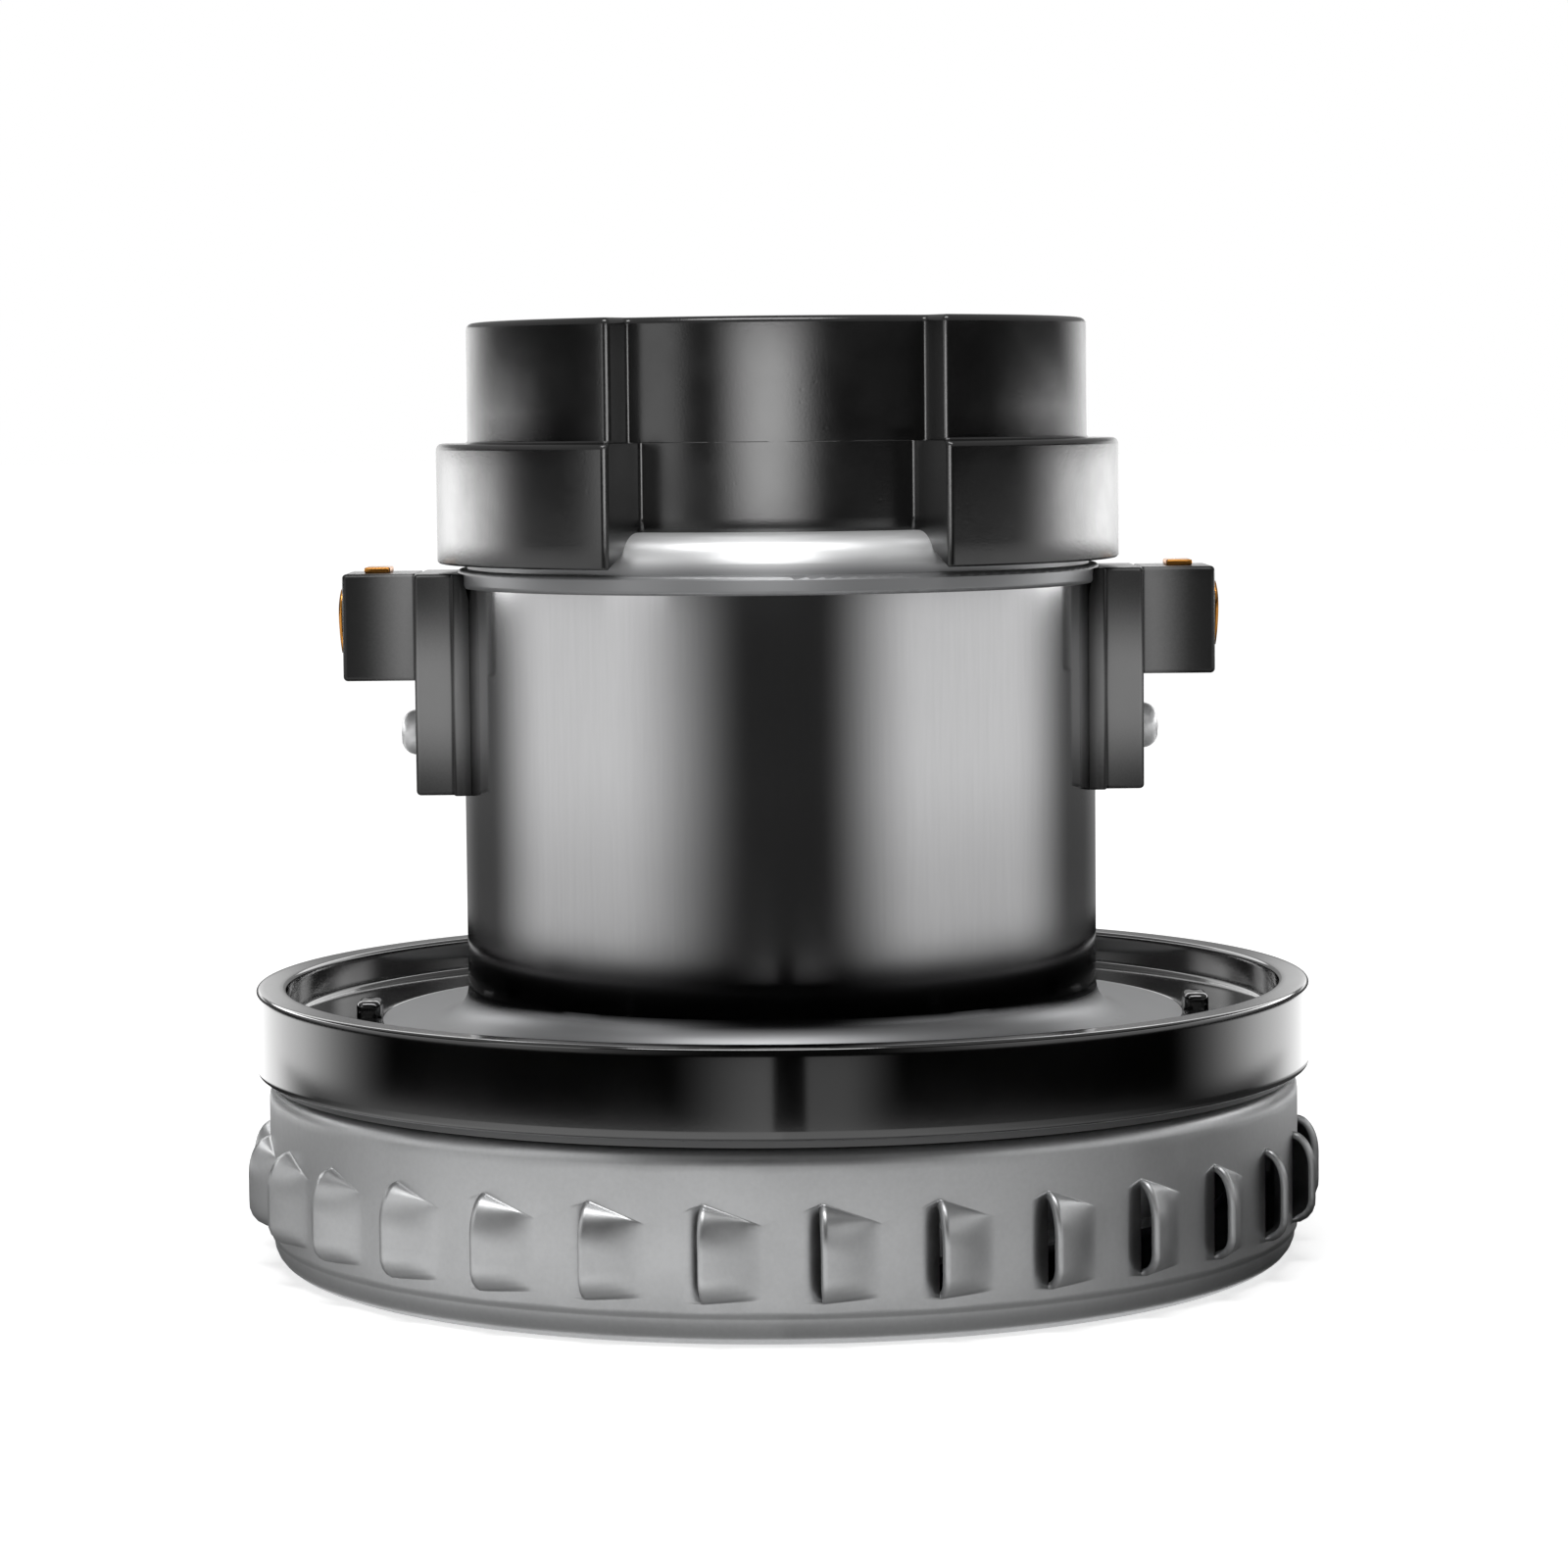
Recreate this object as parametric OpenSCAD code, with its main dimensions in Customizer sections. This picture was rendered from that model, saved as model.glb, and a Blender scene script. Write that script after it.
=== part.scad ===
// Single stage bypass vacuum motor, standing on its air inlet, shaft along Z.
// The origin is the centre of the air inlet, in the plane that the cover stands on.

/* [Inlet cover] */
// Outer radius of the cover's wall
cover_r = 71.9; // [68:0.1:78]
// Height of the cover, from its floor to the top of its rolled shoulder
cover_h = 25.6; // [24:0.1:30]
// Sheet thickness of the cover
cover_t = 1; // [0.7:0.1:1.3]
// Outer radius of the bend between floor and wall
cover_corner_r = 4; // [2.5:0.1:4.8]
// Outer radius of the shoulder rolled in under the fan plate
cover_shoulder_r = 2.4; // [1.6:0.1:3]
// Inner radius of the air inlet
eye_r = 20; // [16:0.5:23]
// Height of the lip turned in round the air inlet
eye_h = 5; // [4:0.1:6]
// Outer radius of the bend between floor and inlet lip
eye_bend_r = 2; // [1.5:0.1:3]

/* [Louvres] */
// Number of pressed louvres round the cover
louvre_n = 30; // [10:1:34]
// Height of a louvre at its mouth
louvre_h = 13.6; // [10:0.1:14.2]
// How far a louvre's mouth stands out of the wall
louvre_out = 3.2; // [2.4:0.1:3.8]
// Radius of the bend that a louvre's back follows
louvre_bend_r = 12; // [10:0.1:13]
// Radius of a louvre's rounded upper and lower edges
louvre_corner_r = 4; // [3.4:0.1:4.8]
// Height of a louvre's middle above the floor
louvre_z = 12.2; // [11.8:0.1:13]
// Angle of the first mouth, to the right of the front
louvre_start = 3.7; // [0:0.1:12]

/* [Fan plate] */
// Sheet thickness of the fan plate
plate_t = 1; // [0.8:0.1:1.4]
// Height of the plate's drum above its rim
drum_h = 5.9; // [4:0.1:9]
// Outer radius of the bend at the top of the drum
drum_corner_r = 1.6; // [1.5:0.1:3]
// How far the plate's rim stays inside the cover's outer wall
rim_inset = 0.2; // [0:0.1:1]

/* [Seal ring] */
// How far the ring stands out past the cover's wall
ring_stand = 1.6; // [0.8:0.1:3]
// Thickness of the ring's wall
ring_wall = 4.2; // [3:0.1:5.4]
// Height of the ring's wall
ring_h = 11.8; // [9:0.1:16]
// Thickness of the ring's floor, which lies on the fan plate
ring_floor_t = 0.9; // [0.6:0.1:1.6]
// Radius of the ring's lower outer edge
ring_edge_r = 1.6; // [0.8:0.1:2.4]
// Radius of the ring's upper edges
ring_top_edge_r = 0.5; // [0.3:0.1:0.9]
// Radial depth of a locating tab
tab_depth = 3.4; // [2:0.1:5]
// Width of a locating tab
tab_w = 6; // [3:0.5:12]
// Height of a locating tab above the ring's floor
tab_h = 2.3; // [1:0.1:4]

/* [Motor housing] */
// Outer radius of the motor housing
can_r = 44; // [42:0.1:48]
// Sheet thickness of the motor housing
can_t = 1; // [0.8:0.1:1.4]
// How far the foot flange reaches past the housing's wall
foot_w = 12; // [10:0.5:13.5]
// Radius of the bend between foot flange and wall
foot_bend_r = 4.5; // [3:0.1:5]
// How far the circle of rivets lies past the housing's wall
rivet_out = 8.2; // [7.6:0.1:8.8]
// Radius of a rivet's domed head
rivet_head_r = 2.5; // [2:0.1:2.8]
// Height of a rivet's domed head
rivet_head_h = 1.5; // [1:0.1:2]
// Radius of a rivet's shank
rivet_r = 1.5; // [1.2:0.1:1.8]
// Number of cooling air outlets at the back
outlet_n = 3; // [1:1:4]
// Height of a cooling air outlet
outlet_h = 4.2; // [3:0.1:5]

/* [Upper bracket] */
// Sheet thickness of the bracket
bracket_t = 1.6; // [1.2:0.1:2]
// Height of the bead that sits on the housing's edge
bead_h = 2.6; // [2:0.1:3.2]
// How far the bead stands out past the housing
bead_out = 0.6; // [0.3:0.1:1]
// How far the bracket's wall stays inside the housing's outer wall
bracket_inset = 0.7; // [0.5:0.1:1.2]
// Rise of the bracket's top above the housing's edge
bracket_rise = 8.1; // [7.6:0.1:10]
// Outer radius of the bend at the bracket's top
bracket_corner_r = 4; // [2:0.1:4.5]
// Depth of the register that enters the housing
register_h = 3; // [2:0.1:4]

/* [Fan cap] */
// How far the cap's drum, seen in its recesses, stays inside the housing's radius
cap_drum_inset = 5.8; // [4.8:0.1:7]
// How far the cap's upper part stays inside the housing's radius
cap_inset = 1; // [0:0.1:2.5]
// How far the collar stands out past the housing
collar_out = 3.4; // [2.6:0.1:6]
// Height of the collar
collar_h = 16.5; // [12:0.1:20]
// Gap in height between the housing's edge and the collar
collar_lift = 3.4; // [3:0.1:5]
// Half angle of the recess in the upper part
recess_a = 31; // [24:0.5:36]
// Half angle of the recess in the collar
collar_recess_a = 28.2; // [22:0.1:34]
// Wall thickness of the cap
cap_wall = 2.2; // [1.6:0.1:2.4]
// Thickness of the cap's roof
cap_roof = 2.5; // [2:0.1:3.5]
// Radius of the rounded outer edges of the cap
cap_edge_r = 0.9; // [0.4:0.1:1.4]
// Radius of the cooling air intake in the roof
intake_r = 25; // [20:0.5:28]
// Number of guard spokes over the intake
spoke_n = 8; // [4:1:12]
// Width of a guard spoke
spoke_w = 2; // [1.5:0.1:3]
// Radius of the guard's hub
guard_hub_r = 8; // [5:0.5:10]

/* [Motor] */
// Radius of the armature core, as a share of the housing's radius
core_share = 0.534; // [0.48:0.002:0.544]
// Height of the armature and stator stacks
stack_h = 28; // [22:0.5:36]
// Height of the windings past each end of the stack
overhang_h = 8; // [6:0.1:9]
// Number of armature slots
slot_n = 12; // [8:1:14]
// Air gap between armature and stator
air_gap = 0.6; // [0.4:0.1:1]
// Radius of the commutator's running face
comm_r = 12; // [11:0.1:13]
// Height of the commutator
comm_h = 13; // [12.5:0.1:15]
// Number of commutator bars
comm_n = 24; // [12:2:32]
// Radius of the shaft in its bearings
shaft_r = 4; // [3.5:0.1:4.3]
// Radius of the shaft between its bearings
shaft_mid_r = 5; // [4.8:0.1:5.6]

/* [Bearings] */
// Outer radius of a bearing
bearing_r = 11; // [10.6:0.1:11.4]
// Height of a bearing
bearing_h = 7; // [6.6:0.1:8]
// Radius of a bearing ball
ball_r = 1.985; // [1.6:0.005:2.1]
// Number of balls in a bearing
ball_n = 7; // [5:1:8]

/* [Brush gear] */
// Width of a carbon brush round the commutator
brush_w = 6.3; // [5:0.1:7]
// Height of a carbon brush along the shaft
brush_h = 8; // [7:0.1:8.4]
// Length of a new carbon brush
brush_l = 24; // [18:0.5:28]
// Wall thickness of the brass brush tube
tube_t = 0.8; // [0.5:0.1:1]
// Width of the holder's box
box_w = 14; // [12:0.5:18]
// Height of the holder's box
box_h = 14.8; // [14:0.1:18]
// How far the holder's box stands out past the housing
box_out = 16.3; // [14:0.1:20]
// How far the holder's mounting plate stands out past the housing
holder_plate_out = 6.2; // [4.5:0.1:8]
// Width of the holder's mounting plate
holder_plate_w = 20; // [18:0.5:24]
// Height of the holder's mounting plate
holder_plate_h = 30.5; // [28:0.5:33]
// Width of the thin pad between mounting plate and housing
pad_w = 23; // [21:0.5:26]
// Thickness of the thin pad beyond the housing
pad_t = 0.9; // [0.5:0.1:1.4]
// Height of the screw above the plate's lower end
screw_up = 7.1; // [5:0.1:9]
// Radius of the screw's domed head
screw_head_r = 3.15; // [2.5:0.05:3.6]
// Height of the screw's domed head
screw_head_h = 2.1; // [1.5:0.1:2.8]
// Radius of the screw's shank
screw_r = 1.75; // [1.4:0.05:2.1]

/* [Impeller] */
// Gap between the impeller and the outside of the cover's wall
impeller_gap = 9.9; // [6:0.1:18]
// Height of the impeller's outlet
outlet_gap = 8.4; // [5:0.1:9]
// Number of impeller blades
blade_n = 8; // [5:1:10]
// Thickness of an impeller blade
blade_t = 1; // [0.8:0.1:1.6]
// Number of cooling fan blades
fan_blade_n = 12; // [6:1:16]
// Height of the cooling fan's blades
fan_blade_h = 11; // [8:0.5:14]

/* [Hidden] */
$fn = 96;
cut = 1;
tiny = 0.02;
fit = 0.05;
loose = 0.1;
clear = 0.3;

// Radii that follow from the sizes above
ring_r = cover_r + ring_stand;
ring_in_r = ring_r - ring_wall;
drum_r = ring_in_r - loose;
rim_r = cover_r - rim_inset;
foot_r = can_r + foot_w;
rivet_circle_r = can_r + rivet_out;
ring_floor_r = foot_r + clear;
can_in_r = can_r - can_t;
bracket_r = can_r - bracket_inset;
cap_drum_r = can_r - cap_drum_inset;
cap_in_r = cap_drum_r - cap_wall;
cap_r = can_r - cap_inset;
collar_r = can_r + collar_out;
box_end_r = can_r + box_out;
holder_plate_r = can_r + holder_plate_out;
impeller_r = cover_r - impeller_gap;

// Stator and armature, in proportion to the housing
core_r = core_share * can_r;
bore_r = core_r + air_gap;
stator_r = can_in_r - fit;
yoke_t = 0.148 * can_r;
yoke_in_r = stator_r - yoke_t;
channel_r = 0.057 * can_r;
shoe_t = 0.09 * can_r;
shoe_r = bore_r + shoe_t;
neck_w = 0.59 * can_r;
liner_t = 0.55;
coil_play = 0.5;

// Heights, from the floor upwards
rim_z = cover_h;
ring_z = rim_z + plate_t;
plate_z = ring_z + drum_h;
foot_z = plate_z + can_t;
lower_bearing_z = plate_z - 4;
bearing_seat_t = 1.2;
winding_gap = 3.5;
stack_z = plate_z + winding_gap + overhang_h;
comm_z = stack_z + stack_h + overhang_h + 0.5;
riser_h = 2.5;
comm_top_z = comm_z + comm_h;
can_top_z = comm_top_z + 0.1;
bracket_top_z = can_top_z + bracket_rise;
upper_bearing_z = bracket_top_z - 5.2;
boss_top_z = upper_bearing_z + bearing_h + bearing_seat_t;
fan_z = boss_top_z + 1.3;
fan_disc_t = 1.5;
fan_top_z = fan_z + fan_disc_t + fan_blade_h;
fan_nut_h = 5;
shaft_top_z = fan_top_z + fan_nut_h + 1;
cap_roof_z = shaft_top_z + 3;
cap_top_z = cap_roof_z + cap_roof;
collar_z = can_top_z + collar_lift;
collar_top_z = collar_z + collar_h;

// Impeller stack, from the shaft's lower end upwards
impeller_t = 1.2;
impeller_shroud_t = 1;
shroud_rim_z = 8.2;
shroud_eye_r = eye_r + cover_t + 1;
shroud_eye_z = 2.6 + cover_t - 1;
shroud_cone_z = 4.4;
backplate_z = shroud_rim_z + impeller_shroud_t + outlet_gap;
washer_r = 12;
washer_t = 1.5;
impeller_nut_h = 6.5;
impeller_nut_af = 13;
washer_z = backplate_z - washer_t;
nut_z = washer_z - impeller_nut_h;
shaft_bottom_z = nut_z - 1.5;
spacer_r = 6.5;
spacer_z = backplate_z + impeller_t;

// Rivets, bearings and brush gear
rivet_n = 4;
rivet_start = 45;
seat_wall = 1.4;
pitch_r = (shaft_r + bearing_r) / 2;
race_play = 0.05;
land_d = 1.5;
shield_t = 0.3;
cage_d = 1;
brush_z = comm_z + riser_h + (comm_h - riser_h) / 2;
brush_tip_r = comm_r + 0.15;
brush_end_r = brush_tip_r + brush_l;
brush_travel = 5;
tube_r = comm_r + 2.5;
tube_in_w = brush_w + 2 * loose;
tube_in_h = brush_h + 2 * loose;
tube_w = tube_in_w + 2 * tube_t;
tube_h = tube_in_h + 2 * tube_t;
box_z = brush_z - box_h / 2;
box_top_z = brush_z + box_h / 2;
holder_z = box_top_z - holder_plate_h;
screw_z = holder_z + screw_up;
terminal_t = 0.8;
spring_r = 2.6;
spring_wire = 0.7;
spring_turns = 9;
spring_room = 0.1;

// Cap posts and cooling fan
post_r = 4;
post_at_r = cap_drum_r - 3;
post_floor = 5;
cap_screw_r = 1.45;
cap_screw_head_r = 2.6;
cap_screw_head_h = 2.2;
fan_r = post_at_r - post_r - 0.7;
fan_hub_r = 7;
fan_blade_t = 1.4;
stud_r = shaft_r - 1;
fan_nut_af = 10;

// Plane and solid shapes that several parts share

module ring_2d(outer, inner) {
  difference() {
    circle(outer);
    circle(inner);
  }
}

module tube(outer, inner, h) {
  linear_extrude(h) ring_2d(outer, inner);
}

// Wedge from the axis, a half angle to each side of the X direction
module wedge_2d(reach, half_a) {
  polygon([[0, 0], [reach, -reach * tan(half_a)], [reach, reach * tan(half_a)]]);
}

// Part of a ring, a half angle to each side of the X direction
module arc_band_2d(outer, inner, half_a) {
  intersection() {
    ring_2d(outer, inner);
    wedge_2d(outer + cut, half_a);
  }
}

module round_rect_2d(w, h, r) {
  translate([r, 0]) square([w - 2 * r, h]);
  translate([0, r]) square([w, h - 2 * r]);
  for (x = [r, w - r], y = [r, h - r]) translate([x, y]) circle(r);
}

// Rectangle from (x0, y0) to (x1, y1)
module span_2d(x0, y0, x1, y1) {
  translate([x0, y0]) square([x1 - x0, y1 - y0]);
}

// What a rounded corner takes off; the corner points to +X and +Y from the arc's centre
module corner_off_2d(x, y, r) {
  translate([x, y]) difference() {
    square(r + cut);
    circle(r);
  }
}

// Quarter of a sheet's bend; turn 0 is the quarter towards +X and +Y of the bend's centre
module bend_2d(x, y, outer, t, turn) {
  translate([x, y]) rotate(turn) intersection() {
    ring_2d(outer, outer - t);
    square(outer + cut);
  }
}

module curved_blade_2d(inner, outer, bend, t) {
  intersection() {
    ring_2d(outer, inner);
    translate([(inner + outer) / 2 - bend * cos(50), bend * sin(50)]) ring_2d(bend + t / 2, bend - t / 2);
    translate([0, -outer]) square([outer, 2 * outer]);
  }
}

module hex_nut(af, h, bore) {
  difference() {
    cylinder(r = af / sqrt(3), h = h, $fn = 6);
    translate([0, 0, -cut]) cylinder(r = bore, h = h + 2 * cut);
  }
}

module dome(r, h) {
  ball = (r * r + h * h) / (2 * h);
  intersection() {
    translate([0, 0, h - ball]) sphere(ball);
    cylinder(r = r, h = h);
  }
}

// Inlet cover: a deep drawn cup with pressed louvres

module cover_profile_2d() {
  span_2d(eye_r, eye_bend_r, eye_r + cover_t, eye_h);
  bend_2d(eye_r + eye_bend_r, eye_bend_r, eye_bend_r, cover_t, 180);
  span_2d(eye_r + eye_bend_r, 0, cover_r - cover_corner_r, cover_t);
  bend_2d(cover_r - cover_corner_r, cover_corner_r, cover_corner_r, cover_t, 270);
  span_2d(cover_r - cover_t, cover_corner_r, cover_r, cover_h - cover_shoulder_r);
  bend_2d(cover_r - cover_shoulder_r, cover_h - cover_shoulder_r, cover_shoulder_r, cover_t, 0);
}

// A wheel whose rounded rim stands out of the wall; the louvre's back is the part behind the mouth
module louvre_wheel(inset) {
  bend = louvre_bend_r - inset;
  half_h = louvre_h / 2 - inset;
  corner = louvre_corner_r - inset;
  translate([cover_r + louvre_out - louvre_bend_r, 0, louvre_z]) rotate_extrude()
    difference() {
      span_2d(0, -half_h, bend, half_h);
      corner_off_2d(bend - corner, half_h - corner, corner);
      mirror([0, 1]) corner_off_2d(bend - corner, half_h - corner, corner);
    }
}

module louvre_back() {
  intersection() {
    louvre_wheel(0);
    translate([cover_r - 0.75 * cover_t, 0, 0]) cube([louvre_out + cover_t, louvre_bend_r, cover_h]);
  }
}

module louvre_mouth() {
  intersection() {
    louvre_wheel(cover_t);
    translate([cover_r - 3 * cover_t, 0, 0]) cube([louvre_out + 3 * cover_t, louvre_bend_r, cover_h]);
  }
}

module place_louvres() {
  for (i = [0:louvre_n - 1]) rotate(louvre_start - 90 + i * 360 / louvre_n) children();
}

module inlet_cover() {
  color([0.56, 0.57, 0.58]) difference() {
    union() {
      rotate_extrude() cover_profile_2d();
      place_louvres() louvre_back();
    }
    place_louvres() louvre_mouth();
  }
}

// Fan plate: a shallow pan, rim down, with the lower bearing's seat in its middle

module fan_plate_profile_2d() {
  seat_r = bearing_r + seat_wall;
  seat_z = lower_bearing_z - bearing_seat_t;
  inner = drum_corner_r - plate_t;
  span_2d(drum_r - plate_t, rim_z, rim_r, ring_z);
  difference() {
    span_2d(seat_r - tiny, rim_z, drum_r, plate_z);
    corner_off_2d(drum_r - drum_corner_r, plate_z - drum_corner_r, drum_corner_r);
    difference() {
      span_2d(0, rim_z - cut, drum_r - plate_t, plate_z - plate_t);
      corner_off_2d(drum_r - drum_corner_r, plate_z - drum_corner_r, inner);
    }
  }
  difference() {
    span_2d(spacer_r + 1, seat_z, seat_r, lower_bearing_z + bearing_h);
    span_2d(0, lower_bearing_z, bearing_r, lower_bearing_z + bearing_h + cut);
  }
}

module fan_plate() {
  color([0.72, 0.73, 0.74]) difference() {
    rotate_extrude() fan_plate_profile_2d();
    place_rivets() translate([0, 0, rim_z]) cylinder(r = rivet_r, h = drum_h + 2 * plate_t);
  }
}

// Seal ring: an L section of black rubber on the fan plate, with two locating tabs

module seal_ring() {
  color([0.03, 0.03, 0.03]) {
    rotate_extrude() {
      difference() {
        span_2d(ring_in_r, ring_z, ring_r, ring_z + ring_h);
        corner_off_2d(ring_r - ring_top_edge_r, ring_z + ring_h - ring_top_edge_r, ring_top_edge_r);
        translate([ring_in_r + ring_top_edge_r, ring_z + ring_h - ring_top_edge_r])
          mirror([1, 0]) corner_off_2d(0, 0, ring_top_edge_r);
        translate([ring_r - ring_edge_r, ring_z + ring_edge_r])
          mirror([0, 1]) corner_off_2d(0, 0, ring_edge_r);
      }
      span_2d(ring_floor_r, plate_z, ring_in_r + tiny, plate_z + ring_floor_t);
    }
    for (side = [0, 180]) rotate(side)
      translate([ring_floor_r, 0, plate_z])
      rotate([90, 0, 90]) linear_extrude(tab_depth)
      translate([-tab_w / 2, ring_floor_t - ring_top_edge_r])
      round_rect_2d(tab_w, tab_h + ring_top_edge_r, ring_top_edge_r);
  }
}

// Motor housing: a drawn tube with a foot flange, riveted to the fan plate

module place_rivets() {
  for (i = [0:rivet_n - 1]) rotate(rivet_start + i * 360 / rivet_n)
    translate([rivet_circle_r, 0, 0]) children();
}

module motor_housing() {
  window_w = tube_w + 4 * loose;
  window_z = brush_z - tube_h / 2 - 2 * loose;
  outlet_z = foot_z + foot_bend_r + 0.8;
  outlet_a = 22;
  outlet_pitch = 34;
  color([0.3, 0.3, 0.31]) difference() {
    rotate_extrude() {
      span_2d(can_in_r, foot_z + foot_bend_r, can_r, can_top_z);
      bend_2d(can_r + foot_bend_r, foot_z + foot_bend_r, foot_bend_r + can_t, can_t, 180);
      span_2d(can_r + foot_bend_r, plate_z, foot_r, foot_z);
    }
    for (side = [0, 180]) rotate(side) {
      translate([can_in_r - cut, -window_w / 2, window_z]) cube([can_t + 2 * cut, window_w, can_top_z]);
      translate([can_in_r - cut, 0, screw_z]) rotate([0, 90, 0]) cylinder(r = screw_r, h = can_t + 2 * cut);
    }
    place_rivets() translate([0, 0, rim_z]) cylinder(r = rivet_r, h = drum_h + can_top_z);
    for (i = [0:outlet_n - 1]) rotate(90 + (i - (outlet_n - 1) / 2) * outlet_pitch)
      translate([0, 0, outlet_z])
      linear_extrude(outlet_h) arc_band_2d(can_r + cut, can_in_r - cut, outlet_a / 2);
  }
}

module housing_rivets() {
  tail_r = rivet_head_r - 0.2;
  color([0.82, 0.82, 0.83]) place_rivets() {
    translate([0, 0, foot_z]) dome(rivet_head_r, rivet_head_h);
    translate([0, 0, plate_z - plate_t]) cylinder(r = rivet_r, h = plate_t + can_t);
    translate([0, 0, plate_z - plate_t - 0.9]) cylinder(r = tail_r, h = 0.9);
  }
}

// Upper bracket: a pressed lid with a bead on the housing's edge and the upper bearing's seat

module upper_bracket_profile_2d() {
  bead_edge = 0.6;
  seat_r = bearing_r + seat_wall;
  in_r = bracket_r - bracket_t;
  in_corner = bracket_corner_r - bracket_t;
  difference() {
    span_2d(seat_r - tiny, can_top_z, bracket_r, bracket_top_z);
    corner_off_2d(bracket_r - bracket_corner_r, bracket_top_z - bracket_corner_r, bracket_corner_r);
    difference() {
      span_2d(0, can_top_z - cut, in_r, bracket_top_z - bracket_t);
      corner_off_2d(in_r - in_corner, bracket_top_z - bracket_t - in_corner, in_corner);
    }
  }
  difference() {
    span_2d(in_r, can_top_z, can_r + bead_out, can_top_z + bead_h);
    corner_off_2d(can_r + bead_out - bead_edge, can_top_z + bead_h - bead_edge, bead_edge);
    translate([can_r + bead_out - bead_edge, can_top_z + bead_edge])
      mirror([0, 1]) corner_off_2d(0, 0, bead_edge);
  }
  span_2d(in_r, can_top_z - register_h, can_in_r - fit, can_top_z + tiny);
  difference() {
    span_2d(spacer_r + 1, upper_bearing_z, seat_r, boss_top_z);
    span_2d(0, upper_bearing_z - cut, bearing_r, upper_bearing_z + bearing_h);
  }
}

module upper_bracket() {
  slot_half_a = 15;
  slot_out_r = post_at_r - 1.5;
  slot_in_r = slot_out_r - 8;
  slots = 6;
  notch_w = tube_w + 4 * loose;
  color([0.76, 0.77, 0.78]) difference() {
    rotate_extrude() upper_bracket_profile_2d();
    for (i = [0:slots - 1]) rotate((i + 0.5) * 360 / slots)
      translate([0, 0, bracket_top_z - bracket_t - cut])
      linear_extrude(bracket_t + 2 * cut) arc_band_2d(slot_out_r, slot_in_r, slot_half_a);
    for (side = [0, 180]) rotate(side) {
      translate([bracket_r - 2 * bracket_t, -notch_w / 2, can_top_z - register_h - cut])
        cube([bracket_t * 4, notch_w, register_h + cut]);
      translate([post_at_r, 0, bracket_top_z - bracket_t - cut])
        cylinder(r = cap_screw_r, h = bracket_t + 2 * cut);
    }
  }
}

// Fan cap: a moulded cover with two cheeks on a drum, cut back to the drum at front and back

// Space beside a drum of that radius at front and back: half angle low_a, and high_a above z
module recess_space(inner_r, low_a, high_a, z) {
  difference() {
    for (side = [90, 270]) rotate(side) {
      translate([0, 0, collar_z - 2 * cut]) linear_extrude(cap_top_z) wedge_2d(collar_r + 2 * cut, low_a);
      translate([0, 0, z]) linear_extrude(cap_top_z) wedge_2d(collar_r + cut, high_a);
    }
    cylinder(r = inner_r, h = 3 * cap_top_z);
  }
}

// Two steps, the lower one wider, each with a rounded upper edge
module cap_steps(low_r, high_r, low_z, step_z, high_z, edge) {
  rotate_extrude() {
    difference() {
      span_2d(0, low_z, low_r, step_z);
      corner_off_2d(low_r - edge, step_z - edge, edge);
    }
    difference() {
      span_2d(0, low_z + cut, high_r, high_z);
      corner_off_2d(high_r - edge, high_z - edge, edge);
    }
  }
}

module cap_shell() {
  wall_a = asin(cap_wall / cap_drum_r);
  inner_edge = 0.4;
  inner_step_z = collar_top_z - cap_roof;
  difference() {
    cap_steps(collar_r, cap_r, collar_z, collar_top_z, cap_top_z, cap_edge_r);
    recess_space(cap_drum_r, collar_recess_a, recess_a, collar_top_z);
    difference() {
      cap_steps(collar_r - cap_wall, cap_r - cap_wall, collar_z - cut, inner_step_z, cap_roof_z, inner_edge);
      recess_space(cap_in_r, collar_recess_a + wall_a, recess_a + wall_a, inner_step_z);
    }
    translate([0, 0, can_top_z]) cylinder(r = bracket_r + loose, h = bracket_top_z - can_top_z);
  }
}

// Open sectors of the cooling air intake, between the guard's hub, spokes and rim
module cap_intake() {
  translate([0, 0, cap_roof_z - cut]) linear_extrude(cap_roof + 2 * cut) difference() {
    ring_2d(intake_r, guard_hub_r);
    for (i = [0:spoke_n - 1]) rotate((i + 0.5) * 360 / spoke_n)
      translate([0, -spoke_w / 2]) square([intake_r + cut, spoke_w]);
  }
}

module fan_cap() {
  color([0.07, 0.07, 0.07]) difference() {
    union() {
      cap_shell();
      for (side = [0, 180]) rotate(side)
        translate([post_at_r, 0, bracket_top_z]) cylinder(r = post_r, h = cap_top_z - bracket_top_z - cut);
    }
    cap_intake();
    for (side = [0, 180]) rotate(side) translate([post_at_r, 0, bracket_top_z]) {
      translate([0, 0, post_floor]) cylinder(r = cap_screw_head_r + clear, h = cap_top_z);
      translate([0, 0, -cut]) cylinder(r = cap_screw_r + loose, h = post_floor + 2 * cut);
    }
  }
}

module cap_screws() {
  shank_below = 3;
  color([0.8, 0.8, 0.8]) for (side = [0, 180]) rotate(side) translate([post_at_r, 0, bracket_top_z]) {
    translate([0, 0, -shank_below]) cylinder(r = cap_screw_r, h = shank_below + post_floor);
    difference() {
      translate([0, 0, post_floor]) dome(cap_screw_head_r, cap_screw_head_h);
      for (turn = [0, 90]) rotate(turn)
        translate([-1.6, -0.3, post_floor + cap_screw_head_h - 1]) cube([3.2, 0.6, 2]);
    }
  }
}

// Stator: two poles at front and back, each with an insulated saddle coil

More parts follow.
